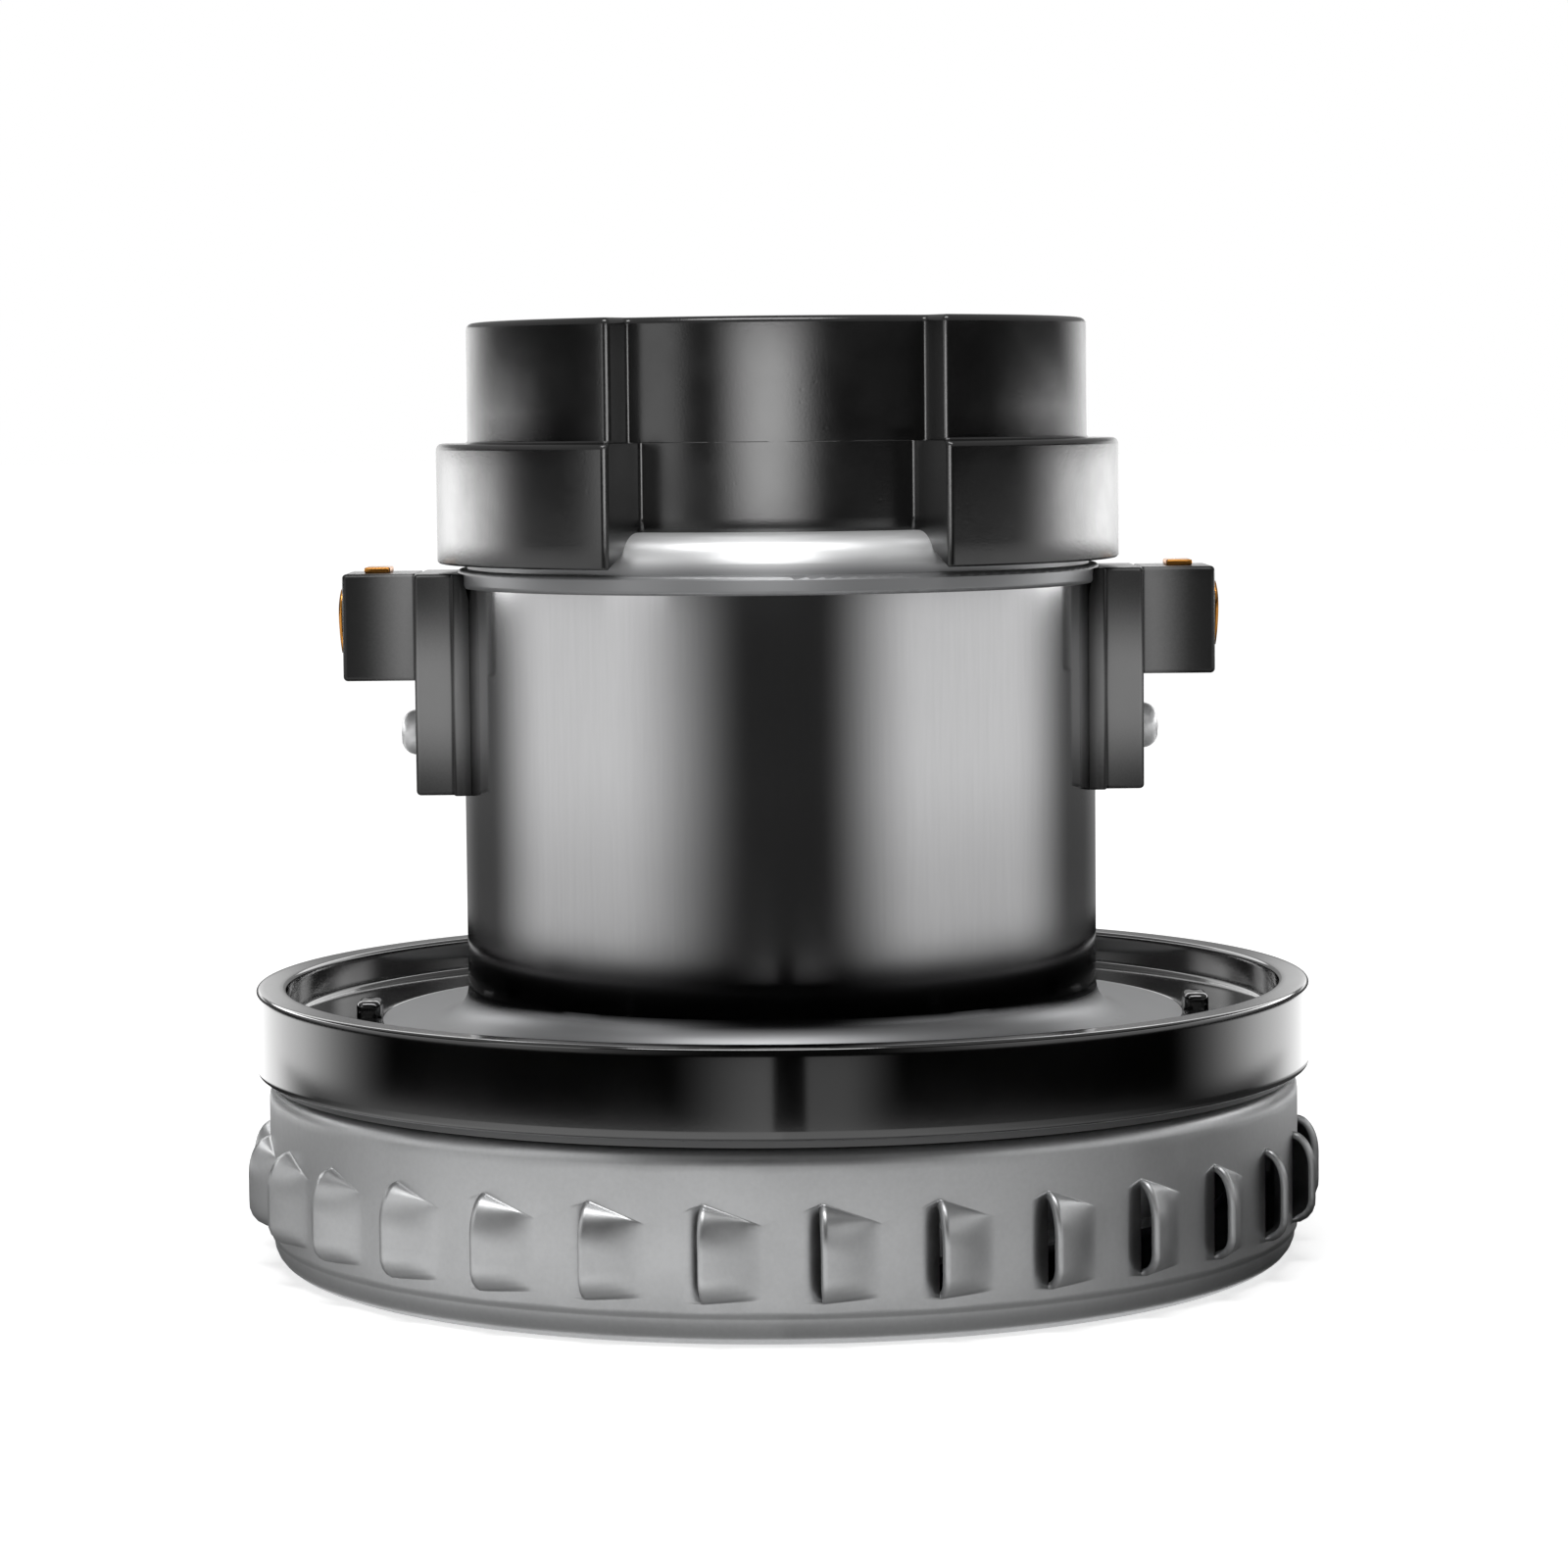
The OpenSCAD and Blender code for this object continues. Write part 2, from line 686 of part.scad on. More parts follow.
module stator_core() {
  color([0.45, 0.46, 0.48]) translate([0, 0, stack_z]) linear_extrude(stack_h) {
    difference() {
      ring_2d(stator_r, yoke_in_r);
      for (i = [0:7]) rotate(i * 45) translate([stator_r, 0]) circle(channel_r);
    }
    for (side = [90, 270]) rotate(side) {
      intersection() {
        ring_2d(yoke_in_r + tiny, bore_r);
        translate([0, -neck_w / 2]) square([yoke_in_r + cut, neck_w]);
      }
      arc_band_2d(shoe_r, bore_r, 56);
    }
  }
}

// A pole's neck, made larger all round by a gap
module pole_block(gap) {
  translate([0, -neck_w / 2 - gap, stack_z - gap]) cube([stator_r, neck_w + 2 * gap, stack_h + 2 * gap]);
}

module field_coil(side) {
  color([0.72, 0.4, 0.18]) rotate(side) difference() {
    translate([0, 0, stack_z - overhang_h])
      linear_extrude(stack_h + 2 * overhang_h) arc_band_2d(yoke_in_r - coil_play, shoe_r + coil_play, 53);
    pole_block(fit + liner_t + loose);
  }
}

module coil_insulator(side) {
  color([0.85, 0.82, 0.7]) rotate(side) difference() {
    intersection() {
      translate([0, 0, stack_z - cut])
        linear_extrude(stack_h + 2 * cut) ring_2d(yoke_in_r - loose, shoe_r + loose);
      pole_block(fit + liner_t);
    }
    pole_block(fit);
  }
}

module field_coil_front() {
  field_coil(270);
}

module field_coil_back() {
  field_coil(90);
}

module coil_insulator_front() {
  coil_insulator(270);
}

module coil_insulator_back() {
  coil_insulator(90);
}

// Ball bearings, sealed by a shield at each face

module bearing_groove_2d() {
  translate([pitch_r, bearing_h / 2]) circle(ball_r + race_play);
}

module bearing_outer_ring(z) {
  color([0.75, 0.76, 0.78]) translate([0, 0, z]) rotate_extrude() difference() {
    span_2d(pitch_r + land_d, 0, bearing_r, bearing_h);
    bearing_groove_2d();
  }
}

module bearing_inner_ring(z) {
  color([0.78, 0.79, 0.8]) translate([0, 0, z]) rotate_extrude() difference() {
    span_2d(shaft_r, 0, pitch_r - land_d, bearing_h);
    bearing_groove_2d();
  }
}

module bearing_balls(z) {
  color([0.9, 0.9, 0.92]) translate([0, 0, z + bearing_h / 2]) for (i = [0:ball_n - 1])
    rotate(i * 360 / ball_n) translate([pitch_r, 0, 0]) sphere(ball_r);
}

module bearing_cage(z) {
  below = ball_r + 0.7;
  above = 0.6;
  color([0.7, 0.6, 0.3]) translate([0, 0, z + bearing_h / 2]) difference() {
    translate([0, 0, -below]) tube(pitch_r + cage_d, pitch_r - cage_d, below + above);
    for (i = [0:ball_n - 1]) rotate(i * 360 / ball_n) translate([pitch_r, 0, 0]) sphere(ball_r + race_play);
  }
}

module bearing_shields(z) {
  inset = 0.2;
  color([0.5, 0.5, 0.52]) for (face = [inset, bearing_h - inset - shield_t])
    translate([0, 0, z + face]) tube(pitch_r + land_d, pitch_r - land_d + clear, shield_t);
}

module lower_bearing_outer_ring() {
  bearing_outer_ring(lower_bearing_z);
}

module lower_bearing_inner_ring() {
  bearing_inner_ring(lower_bearing_z);
}

module lower_bearing_cage() {
  bearing_cage(lower_bearing_z);
}

module lower_bearing_balls() {
  bearing_balls(lower_bearing_z);
}

module lower_bearing_shields() {
  bearing_shields(lower_bearing_z);
}

module upper_bearing_outer_ring() {
  bearing_outer_ring(upper_bearing_z);
}

module upper_bearing_inner_ring() {
  bearing_inner_ring(upper_bearing_z);
}

module upper_bearing_cage() {
  bearing_cage(upper_bearing_z);
}

module upper_bearing_balls() {
  bearing_balls(upper_bearing_z);
}

module upper_bearing_shields() {
  bearing_shields(upper_bearing_z);
}

// Brush gear, drawn on the +X side and turned for the left side

module brush_holder() {
  box_edge = 0.6;
  color([0.09, 0.09, 0.09]) difference() {
    union() {
      translate([can_in_r, -pad_w / 2, holder_z]) cube([can_t + pad_t, pad_w, holder_plate_h]);
      translate([can_r, 0, holder_z]) rotate([90, 0, 90]) linear_extrude(holder_plate_r - can_r)
        translate([-holder_plate_w / 2, 0]) round_rect_2d(holder_plate_w, holder_plate_h, box_edge);
      translate([holder_plate_r - cut, 0, box_z]) rotate([90, 0, 90])
        linear_extrude(box_end_r - holder_plate_r + cut)
        translate([-box_w / 2, 0]) round_rect_2d(box_w, box_h, box_edge);
    }
    translate([0, 0, holder_z - cut]) cylinder(r = can_r + fit, h = holder_plate_h + 2 * cut);
    translate([0, 0, can_top_z - loose]) cylinder(r = can_r + bead_out + loose, h = holder_plate_h);
    translate([tube_r, -tube_w / 2 - fit, brush_z - tube_h / 2 - fit])
      cube([box_end_r, tube_w + 2 * fit, tube_h + 2 * fit]);
    translate([can_in_r, 0, screw_z]) rotate([0, 90, 0]) cylinder(r = screw_r + loose, h = holder_plate_r);
    brush_terminal_stem(loose);
  }
}

module brush_tube() {
  color([0.8, 0.62, 0.25]) translate([tube_r, 0, brush_z]) rotate([90, 0, 90])
    linear_extrude(box_end_r - tube_r) difference() {
      square([tube_w, tube_h], center = true);
      square([tube_in_w, tube_in_h], center = true);
    }
}

module brush_terminal_stem(gap) {
  stem_at_r = box_end_r - 5.1;
  stem_l = 1.2 + 2 * gap;
  stem_w = 4 + 2 * gap;
  translate([stem_at_r - stem_l / 2, -stem_w / 2, brush_z + tube_h / 2])
    cube([stem_l, stem_w, box_top_z - brush_z - tube_h / 2 + (gap > 0 ? cut : 0)]);
}

module brush_terminal() {
  blade_l = 5;
  blade_at_r = box_end_r - 7.1;
  blade_w = 6.3;
  end_w = tube_w + 1.6;
  end_h = tube_h - 1;
  color([0.85, 0.6, 0.22]) {
    translate([box_end_r, 0, brush_z - tube_h / 2]) rotate([90, 0, 90]) linear_extrude(terminal_t)
      translate([-end_w / 2, 0]) round_rect_2d(end_w, end_h, 1);
    brush_terminal_stem(0);
    translate([blade_at_r, -blade_w / 2, box_top_z]) cube([blade_l, blade_w, terminal_t]);
  }
}

module holder_screw() {
  shank_in = channel_r / 2;
  color([0.85, 0.85, 0.86]) translate([0, 0, screw_z]) rotate([0, 90, 0]) {
    translate([0, 0, can_in_r - shank_in]) cylinder(r = screw_r, h = holder_plate_r - can_in_r + shank_in);
    difference() {
      translate([0, 0, holder_plate_r]) dome(screw_head_r, screw_head_h);
      for (turn = [0, 90]) rotate(turn)
        translate([-1.9, -0.35, holder_plate_r + screw_head_h - 1.1]) cube([3.8, 0.7, 2]);
    }
  }
}

module carbon_brush() {
  pin_r = 1.2;
  pin_l = 4;
  color([0.2, 0.2, 0.22]) {
    difference() {
      translate([comm_r - cut, -brush_w / 2, brush_z - brush_h / 2])
        cube([brush_end_r - comm_r + cut, brush_w, brush_h]);
      translate([0, 0, brush_z - brush_h]) cylinder(r = brush_tip_r, h = 2 * brush_h);
    }
    translate([brush_end_r, 0, brush_z]) rotate([0, 90, 0]) cylinder(r = pin_r, h = pin_l);
  }
}

// The spring's outline runs in and out once for each turn, round an open middle
module brush_spring() {
  l = box_end_r - brush_end_r - 2 * spring_room;
  step = l / spring_turns / 2;
  wave = [for (i = [0:2 * spring_turns]) [spring_r - (i % 2) * spring_wire / 2, i * step]];
  in_r = spring_r - spring_wire;
  color([0.7, 0.7, 0.72]) translate([brush_end_r + spring_room, 0, brush_z]) rotate([0, 90, 0])
    rotate_extrude() polygon(concat([[in_r, 0]], wave, [[in_r, l]]));
}

module brush_holder_left() {
  rotate(180) brush_holder();
}

module brush_holder_right() {
  brush_holder();
}

module brush_tube_left() {
  rotate(180) brush_tube();
}

module brush_tube_right() {
  brush_tube();
}

module brush_terminal_left() {
  rotate(180) brush_terminal();
}

module brush_terminal_right() {
  brush_terminal();
}

module holder_screw_left() {
  rotate(180) holder_screw();
}

module holder_screw_right() {
  holder_screw();
}

module brush_spring_left() {
  rotate(180) brush_spring();
}

module brush_spring_right() {
  brush_spring();
}

module carbon_brush_left() {
  rotate(180) carbon_brush();
}

module carbon_brush_right() {
  carbon_brush();
}

// Rotor

module shaft() {
  color([0.8, 0.8, 0.82]) rotate_extrude() {
    span_2d(0, shaft_bottom_z, shaft_r, fan_top_z);
    span_2d(0, lower_bearing_z + bearing_h, shaft_mid_r, upper_bearing_z);
    span_2d(0, fan_top_z - cut, stud_r, shaft_top_z);
  }
}

module slot_2d(gap) {
  slot_r = 2.6;
  slot_at = core_r - slot_r - 1.4;
  translate([slot_at, 0]) circle(slot_r - gap);
}

module armature_core() {
  opening_w = 1.6;
  color([0.42, 0.43, 0.45]) translate([0, 0, stack_z]) linear_extrude(stack_h) difference() {
    ring_2d(core_r, shaft_mid_r);
    for (i = [0:slot_n - 1]) rotate(i * 360 / slot_n) {
      slot_2d(0);
      translate([core_r - 3, -opening_w / 2]) square([4, opening_w]);
    }
  }
}

module armature_winding() {
  out_r = core_r - 1.6;
  in_r = shaft_mid_r + 2.5;
  h = overhang_h - 1;
  color([0.7, 0.36, 0.14]) {
    for (z = [stack_z - h, stack_z + stack_h]) translate([0, 0, z])
      rotate_extrude() translate([in_r, 0]) round_rect_2d(out_r - in_r, h, 3);
    translate([0, 0, stack_z - tiny]) linear_extrude(stack_h + 2 * tiny)
      for (i = [0:slot_n - 1]) rotate(i * 360 / slot_n) slot_2d(loose);
  }
}

module commutator_hub() {
  color([0.35, 0.2, 0.1]) translate([0, 0, comm_z]) tube(comm_r - 2.5, shaft_mid_r, comm_h);
}

module commutator_bars() {
  slit_w = 0.5;
  color([0.78, 0.48, 0.28]) difference() {
    translate([0, 0, comm_z]) union() {
      tube(comm_r, comm_r - 2.5, comm_h);
      tube(comm_r + 1.4, comm_r - 2.5, riser_h);
    }
    for (i = [0:comm_n - 1]) rotate(i * 360 / comm_n)
      translate([comm_r - 1, -slit_w / 2, comm_z - cut]) cube([4, slit_w, comm_h + 2 * cut]);
  }
}

function shroud_top_z(r) = shroud_cone_z + impeller_shroud_t
  + (shroud_rim_z - shroud_cone_z) * (r - shroud_eye_r) / (impeller_r - shroud_eye_r);

module impeller_backplate() {
  color([0.8, 0.81, 0.83]) translate([0, 0, backplate_z]) tube(impeller_r, shaft_r, impeller_t);
}

module impeller_shroud() {
  t = impeller_shroud_t;
  color([0.8, 0.81, 0.83]) rotate_extrude() {
    polygon([[shroud_eye_r, shroud_cone_z], [impeller_r, shroud_rim_z], [impeller_r, shroud_rim_z + t],
      [shroud_eye_r, shroud_cone_z + t]]);
    span_2d(shroud_eye_r, shroud_eye_z, shroud_eye_r + t, shroud_cone_z + t);
  }
}

module impeller_blades() {
  blade_inset = 0.04;
  blade_bend = 0.68;
  in_r = shroud_eye_r + blade_inset * impeller_r;
  out_r = impeller_r - clear;
  color([0.76, 0.77, 0.79]) intersection() {
    rotate_extrude() polygon([[in_r - cut, shroud_top_z(in_r - cut)], [out_r, shroud_top_z(out_r)],
      [out_r, backplate_z], [in_r - cut, backplate_z]]);
    linear_extrude(backplate_z + cut) for (i = [0:blade_n - 1])
      rotate(i * 360 / blade_n) curved_blade_2d(in_r, out_r, blade_bend * impeller_r, blade_t);
  }
}

module impeller_spacer() {
  flange_t = 2;
  color([0.7, 0.7, 0.72]) translate([0, 0, spacer_z]) {
    tube(spacer_r, shaft_r, lower_bearing_z - spacer_z);
    tube(washer_r, shaft_r, flange_t);
  }
}

module impeller_washer() {
  color([0.75, 0.75, 0.76]) translate([0, 0, washer_z]) tube(washer_r, shaft_r, washer_t);
}

module impeller_nut() {
  color([0.85, 0.85, 0.86]) translate([0, 0, nut_z]) hex_nut(impeller_nut_af, impeller_nut_h, shaft_r);
}

module cooling_fan() {
  blade_in_r = fan_hub_r + 6;
  fan_blade_bend = 0.79;
  color([0.12, 0.12, 0.13]) translate([0, 0, fan_z]) {
    tube(fan_r, shaft_r, fan_disc_t);
    tube(fan_hub_r, shaft_r, fan_disc_t + fan_blade_h);
    linear_extrude(fan_disc_t + fan_blade_h) for (i = [0:fan_blade_n - 1])
      rotate(i * 360 / fan_blade_n)
      curved_blade_2d(blade_in_r, fan_r - clear, fan_blade_bend * fan_r, fan_blade_t);
  }
}

module cooling_fan_nut() {
  color([0.85, 0.85, 0.86]) translate([0, 0, fan_top_z]) hex_nut(fan_nut_af, fan_nut_h, stud_r);
}

inlet_cover();
fan_plate();
seal_ring();
motor_housing();
housing_rivets();
upper_bracket();
fan_cap();
cap_screws();
stator_core();
field_coil_front();
field_coil_back();
coil_insulator_front();
coil_insulator_back();
lower_bearing_outer_ring();
lower_bearing_inner_ring();
lower_bearing_cage();
lower_bearing_balls();
lower_bearing_shields();
upper_bearing_outer_ring();
upper_bearing_inner_ring();
upper_bearing_cage();
upper_bearing_balls();
upper_bearing_shields();
brush_holder_left();
brush_holder_right();
brush_tube_left();
brush_tube_right();
brush_terminal_left();
brush_terminal_right();
holder_screw_left();
holder_screw_right();
brush_spring_left();
brush_spring_right();
carbon_brush_left();
carbon_brush_right();
shaft();
armature_core();
armature_winding();
commutator_hub();
commutator_bars();
impeller_backplate();
impeller_blades();
impeller_shroud();
impeller_spacer();
impeller_washer();
impeller_nut();
cooling_fan();
cooling_fan_nut();
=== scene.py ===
"""Looks of the vacuum motor unit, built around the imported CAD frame.

The unit stands on its inlet cover, its axis along +Z, its front towards -Y. All lengths are in metres.
"""

import logging
import math
from dataclasses import dataclass
from enum import Enum

import bmesh
import bpy
import numpy as np
from mathutils import Matrix, Vector


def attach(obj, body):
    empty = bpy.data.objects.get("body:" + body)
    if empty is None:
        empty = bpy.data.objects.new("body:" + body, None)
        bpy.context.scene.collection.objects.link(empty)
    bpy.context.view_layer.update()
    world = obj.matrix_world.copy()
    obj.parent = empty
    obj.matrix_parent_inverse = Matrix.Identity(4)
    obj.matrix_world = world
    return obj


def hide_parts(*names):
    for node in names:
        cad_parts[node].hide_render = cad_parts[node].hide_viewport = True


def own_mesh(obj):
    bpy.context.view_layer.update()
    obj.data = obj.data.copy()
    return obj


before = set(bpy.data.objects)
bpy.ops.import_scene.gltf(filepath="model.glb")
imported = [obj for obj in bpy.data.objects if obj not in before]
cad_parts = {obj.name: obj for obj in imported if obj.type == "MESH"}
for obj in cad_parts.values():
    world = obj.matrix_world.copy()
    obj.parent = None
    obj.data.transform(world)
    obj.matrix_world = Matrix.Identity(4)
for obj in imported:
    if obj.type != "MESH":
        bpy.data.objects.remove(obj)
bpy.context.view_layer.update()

log = logging.getLogger("vacuum_motor_unit")

MM = 0.001
ON_AXIS = 1e-5  # radius of points that stand for the axis itself
Socket = bpy.types.NodeSocket
Value = float | Socket
Shell = tuple[np.ndarray, np.ndarray]


class Grain(Enum):
    """How the fine marks of a surface run."""

    EVEN = "even"
    TURNED = "turned"
    DRAWN = "drawn"
    ALONG = "along"


class Graph:
    """Adds nodes to one node tree; each method returns the new node's output socket."""

    def __init__(self, tree: bpy.types.NodeTree) -> None:
        """Starts from an empty tree.

        Args:
            tree: the material's or the world's node tree.
        """
        self.tree = tree
        tree.nodes.clear()

    def node(self, kind: str, **settings: object) -> bpy.types.Node:
        """Adds a node.

        Args:
            kind: the node's type name without the ShaderNode prefix.
            settings: properties of the node.

        Returns:
            The new node.
        """
        made = self.tree.nodes.new("ShaderNode" + kind)
        for name, value in settings.items():
            setattr(made, name, value)
        return made

    def put(self, socket: Socket, value: object) -> None:
        """Links a socket to another one, or sets its value."""
        if isinstance(value, bpy.types.NodeSocket):
            self.tree.links.new(value, socket)
        else:
            socket.default_value = value

    def math(self, operation: str, *values: Value) -> Socket:
        """Adds a Math node.

        Args:
            operation: the node's operation.
            values: its inputs, numbers or sockets.

        Returns:
            The result.
        """
        made = self.node("Math", operation=operation)
        for socket, value in zip(made.inputs, values):
            self.put(socket, value)
        return made.outputs[0]

    def weigh(self, first: Socket, share: float, second: Socket) -> Socket:
        """Mixes two values.

        Args:
            first: the first value.
            share: its share, up to 1.
            second: the second value, which has what is left.

        Returns:
            The mixed value.
        """
        return self.math("ADD", self.math("MULTIPLY", first, share), self.math("MULTIPLY", second, 1.0 - share))

    def span(self, value: Value, low: float, high: float, start: Value = 0.0, end: Value = 1.0) -> Socket:
        """Maps a range onto another with soft ends.

        Args:
            value: what is mapped.
            low: value that gives start.
            high: value that gives end.
            start: lower result.
            end: upper result.

        Returns:
            The mapped value.
        """
        made = self.node("MapRange", interpolation_type="SMOOTHSTEP")
        entries = {"Value": value, "From Min": low, "From Max": high, "To Min": start, "To Max": end}
        for name, entry in entries.items():
            self.put(made.inputs[name], entry)
        return made.outputs[0]

    def noise(self, vector: Socket, scale: float, detail: float = 3.0, rough: float = 0.5) -> Socket:
        """Adds a noise texture.

        Args:
            vector: the pattern's coordinates.
            scale: cells per metre of those coordinates.
            detail: octaves.
            rough: weight of the finer octaves.

        Returns:
            The noise, about 0.5.
        """
        made = self.node("TexNoise")
        self.put(made.inputs["Vector"], vector)
        for name, entry in (("Scale", scale), ("Detail", detail), ("Roughness", rough)):
            made.inputs[name].default_value = entry
        return made.outputs[0]

    def cells(self, vector: Socket, scale: float) -> Socket:
        """Adds a cell texture and returns the distance to the nearest cell's centre."""
        made = self.node("TexVoronoi", feature="F1")
        self.put(made.inputs["Vector"], vector)
        made.inputs["Scale"].default_value = scale
        return made.outputs["Distance"]

    def bump(self, height: Socket, distance: float) -> Socket:
        """Adds a Bump node for marks as high as the distance, and returns its normal."""
        made = self.node("Bump")
        made.inputs["Strength"].default_value = 1.0
        made.inputs["Distance"].default_value = distance
        self.put(made.inputs["Height"], height)
        return made.outputs[0]

    def blend(self, share: Value, first: object, second: object) -> Socket:
        """Mixes two colours.

        Args:
            share: share of the second one.
            first: colour or socket.
            second: colour or socket.

        Returns:
            The mixed colour.
        """
        made = self.node("Mix", data_type="RGBA")
        self.put(made.inputs["Factor"], share)
        self.put(made.inputs["A"], first)
        self.put(made.inputs["B"], second)
        return made.outputs["Result"]

    def place(self) -> Socket:
        """Object coordinates."""
        return self.node("TexCoord").outputs["Object"]

    def axes(self) -> tuple[Socket, ...]:
        """X, Y and Z of the object coordinates."""
        part = self.node("SeparateXYZ")
        self.put(part.inputs[0], self.place())
        return tuple(part.outputs)

    def show(self, surface: Socket, kind: str = "OutputMaterial") -> None:
        """Links a surface to the tree's output."""
        self.put(self.node(kind).inputs["Surface"], surface)

    def coordinates(self, grain: Grain) -> Socket:
        """Object coordinates, stretched so that marks run as the grain says.

        Turned marks run round the Z axis, drawn marks run up and down, and marks along run with X.

        Args:
            grain: the way the marks run.

        Returns:
            The coordinates.
        """
        if grain is Grain.EVEN:
            return self.place()
        x, y, z = self.axes()
        made = self.node("CombineXYZ")
        slow = 0.04
        if grain is Grain.TURNED:
            radius = self.math("SQRT", self.math("ADD", self.math("MULTIPLY", x, x), self.math("MULTIPLY", y, y)))
            entries = (radius, z, self.math("MULTIPLY", self.math("ADD", x, y), slow))
        elif grain is Grain.DRAWN:
            entries = (x, y, self.math("MULTIPLY", z, slow))
        else:
            entries = (self.math("MULTIPLY", x, slow), y, z)
        for socket, entry in zip(made.inputs, entries):
            self.put(socket, entry)
        return made.outputs[0]


def new_material(name: str) -> tuple[bpy.types.Material, Graph]:
    """Makes an empty material and the graph of its nodes."""
    material = bpy.data.materials.new(name)
    material.use_nodes = True
    return material, Graph(material.node_tree)


@dataclass(frozen=True)
class Finish:
    """A surface finish: shading values, and the patterns that vary them.

    Attributes:
        name: the material's name.
        colour: base colour, linear.
        metallic: 1 for bare metal.
        roughness: middle roughness.
        uneven: how far the roughness strays to each side.
        shade: how far the colour strays, as a share.
        grain: how the fine marks run.
        fine: fine marks per metre.
        relief: height of the fine marks in metres.
        broad: broad patches per metre.
        specular: specular level of what isn't metal.
        coat: weight of a clear coat.
        pits: weight of small pits.
    """

    name: str
    colour: tuple[float, float, float]
    metallic: float = 0.0
    roughness: float = 0.4
    uneven: float = 0.05
    shade: float = 0.12
    grain: Grain = Grain.EVEN
    fine: float = 2500.0
    relief: float = 1e-5
    broad: float = 45.0
    specular: float = 0.5
    coat: float = 0.0
    pits: float = 0.0

    def marks(self, graph: Graph) -> Socket:
        """The fine marks, about 0.5."""
        return graph.noise(graph.coordinates(self.grain), self.fine, 4.0, 0.6)

    def pattern(self, graph: Graph) -> tuple[Socket, Socket]:
        """The finish's own pattern.

        Args:
            graph: the material's graph.

        Returns:
            A shade factor from 0 to 1, and the height of the marks from 0 to 1.
        """
        marks = self.marks(graph)
        patches = graph.noise(graph.place(), self.broad, 5.0, 0.62)
        return graph.weigh(marks, 0.45, patches), marks

    def gloss(self, graph: Graph) -> Socket:
        """The roughness, in broad patches round its middle value."""
        patches = graph.noise(graph.place(), self.broad * 2.3, 4.0, 0.6)
        return graph.span(patches, 0.3, 0.7, self.roughness - self.uneven, self.roughness + self.uneven)

    def toned(self, graph: Graph, colour: Socket) -> Socket:
        """The colour after changes by place; a plain finish has none."""
        return colour

    def build(self) -> bpy.types.Material:
        """Makes the material.

        The colour and the roughness follow the pattern, and the marks are a slight bump.

        Returns:
            The material, made once.
        """
        known = bpy.data.materials.get(self.name)
        if known:
            return known
        material, graph = new_material(self.name)
        shader = graph.node("BsdfPrincipled")
        levels = {"Metallic": self.metallic, "Specular IOR Level": self.specular, "Coat Weight": self.coat,
                  "Coat Roughness": 0.08}
        for name, value in levels.items():
            shader.inputs[name].default_value = value
        shade, marks = self.pattern(graph)
        dark = tuple(part * (1 - self.shade) for part in self.colour) + (1.0,)
        light = tuple(min(1.0, part * (1 + self.shade)) for part in self.colour) + (1.0,)
        colour = graph.blend(graph.span(shade, 0.3, 0.7), dark, light)
        graph.put(shader.inputs["Base Color"], self.toned(graph, colour))
        graph.put(shader.inputs["Roughness"], self.gloss(graph))
        height = marks
        if self.pits:
            hollow = graph.span(graph.cells(graph.place(), self.fine * 0.16), 0.05, 0.16)
            height = graph.math("ADD", marks, graph.math("MULTIPLY", hollow, self.pits))
        graph.put(shader.inputs["Normal"], graph.bump(height, self.relief))
        graph.show(shader.outputs[0])
        return material


@dataclass(frozen=True)
class FootedSteel(Finish):
    """Drawn steel with a duller foot, where the press tool held it, whose colour is darkened as painted shade.

    A wall with a shaded neck gets painted shade over that height: a near-black band just above the foot.

    Attributes:
        foot: height up to which the foot's finish reaches.
        wall: height from which the wall's finish starts.
        shaded_neck: height of the band of painted shade above the foot, or 0.
        dull: roughness of the foot.
        dark: colour of the foot, a painted shade.
    """

    foot: float = 0.0362
    wall: float = 0.038
    shaded_neck: float = 0.0082
    dull: float = 0.44
    dark: float = 0.26

    def above(self, graph: Graph) -> Socket:
        """0 on the foot, 1 on the wall."""
        return graph.span(graph.axes()[2], self.foot, self.wall)

    def gloss(self, graph: Graph) -> Socket:
        """The roughness, dull on the foot; see Finish.gloss."""
        return graph.span(self.above(graph), 0.0, 1.0, self.dull, super().gloss(graph))

    def toned(self, graph: Graph, colour: Socket) -> Socket:
        """Painted shade, darker on the foot and on the neck; see Finish.toned."""
        if self.shaded_neck > 0.0:
            # painted shade: a near-black band just above the foot, fading out upwards
            clear = graph.span(graph.axes()[2], self.wall + 0.45 * self.shaded_neck, self.wall + self.shaded_neck)
            colour = graph.blend(clear, (0.03, 0.03, 0.031, 1.0), colour)
        # painted shade: the foot darkened to the dark colour
        return graph.blend(self.above(graph), (self.dark, self.dark * 1.01, self.dark * 1.03, 1.0), colour)


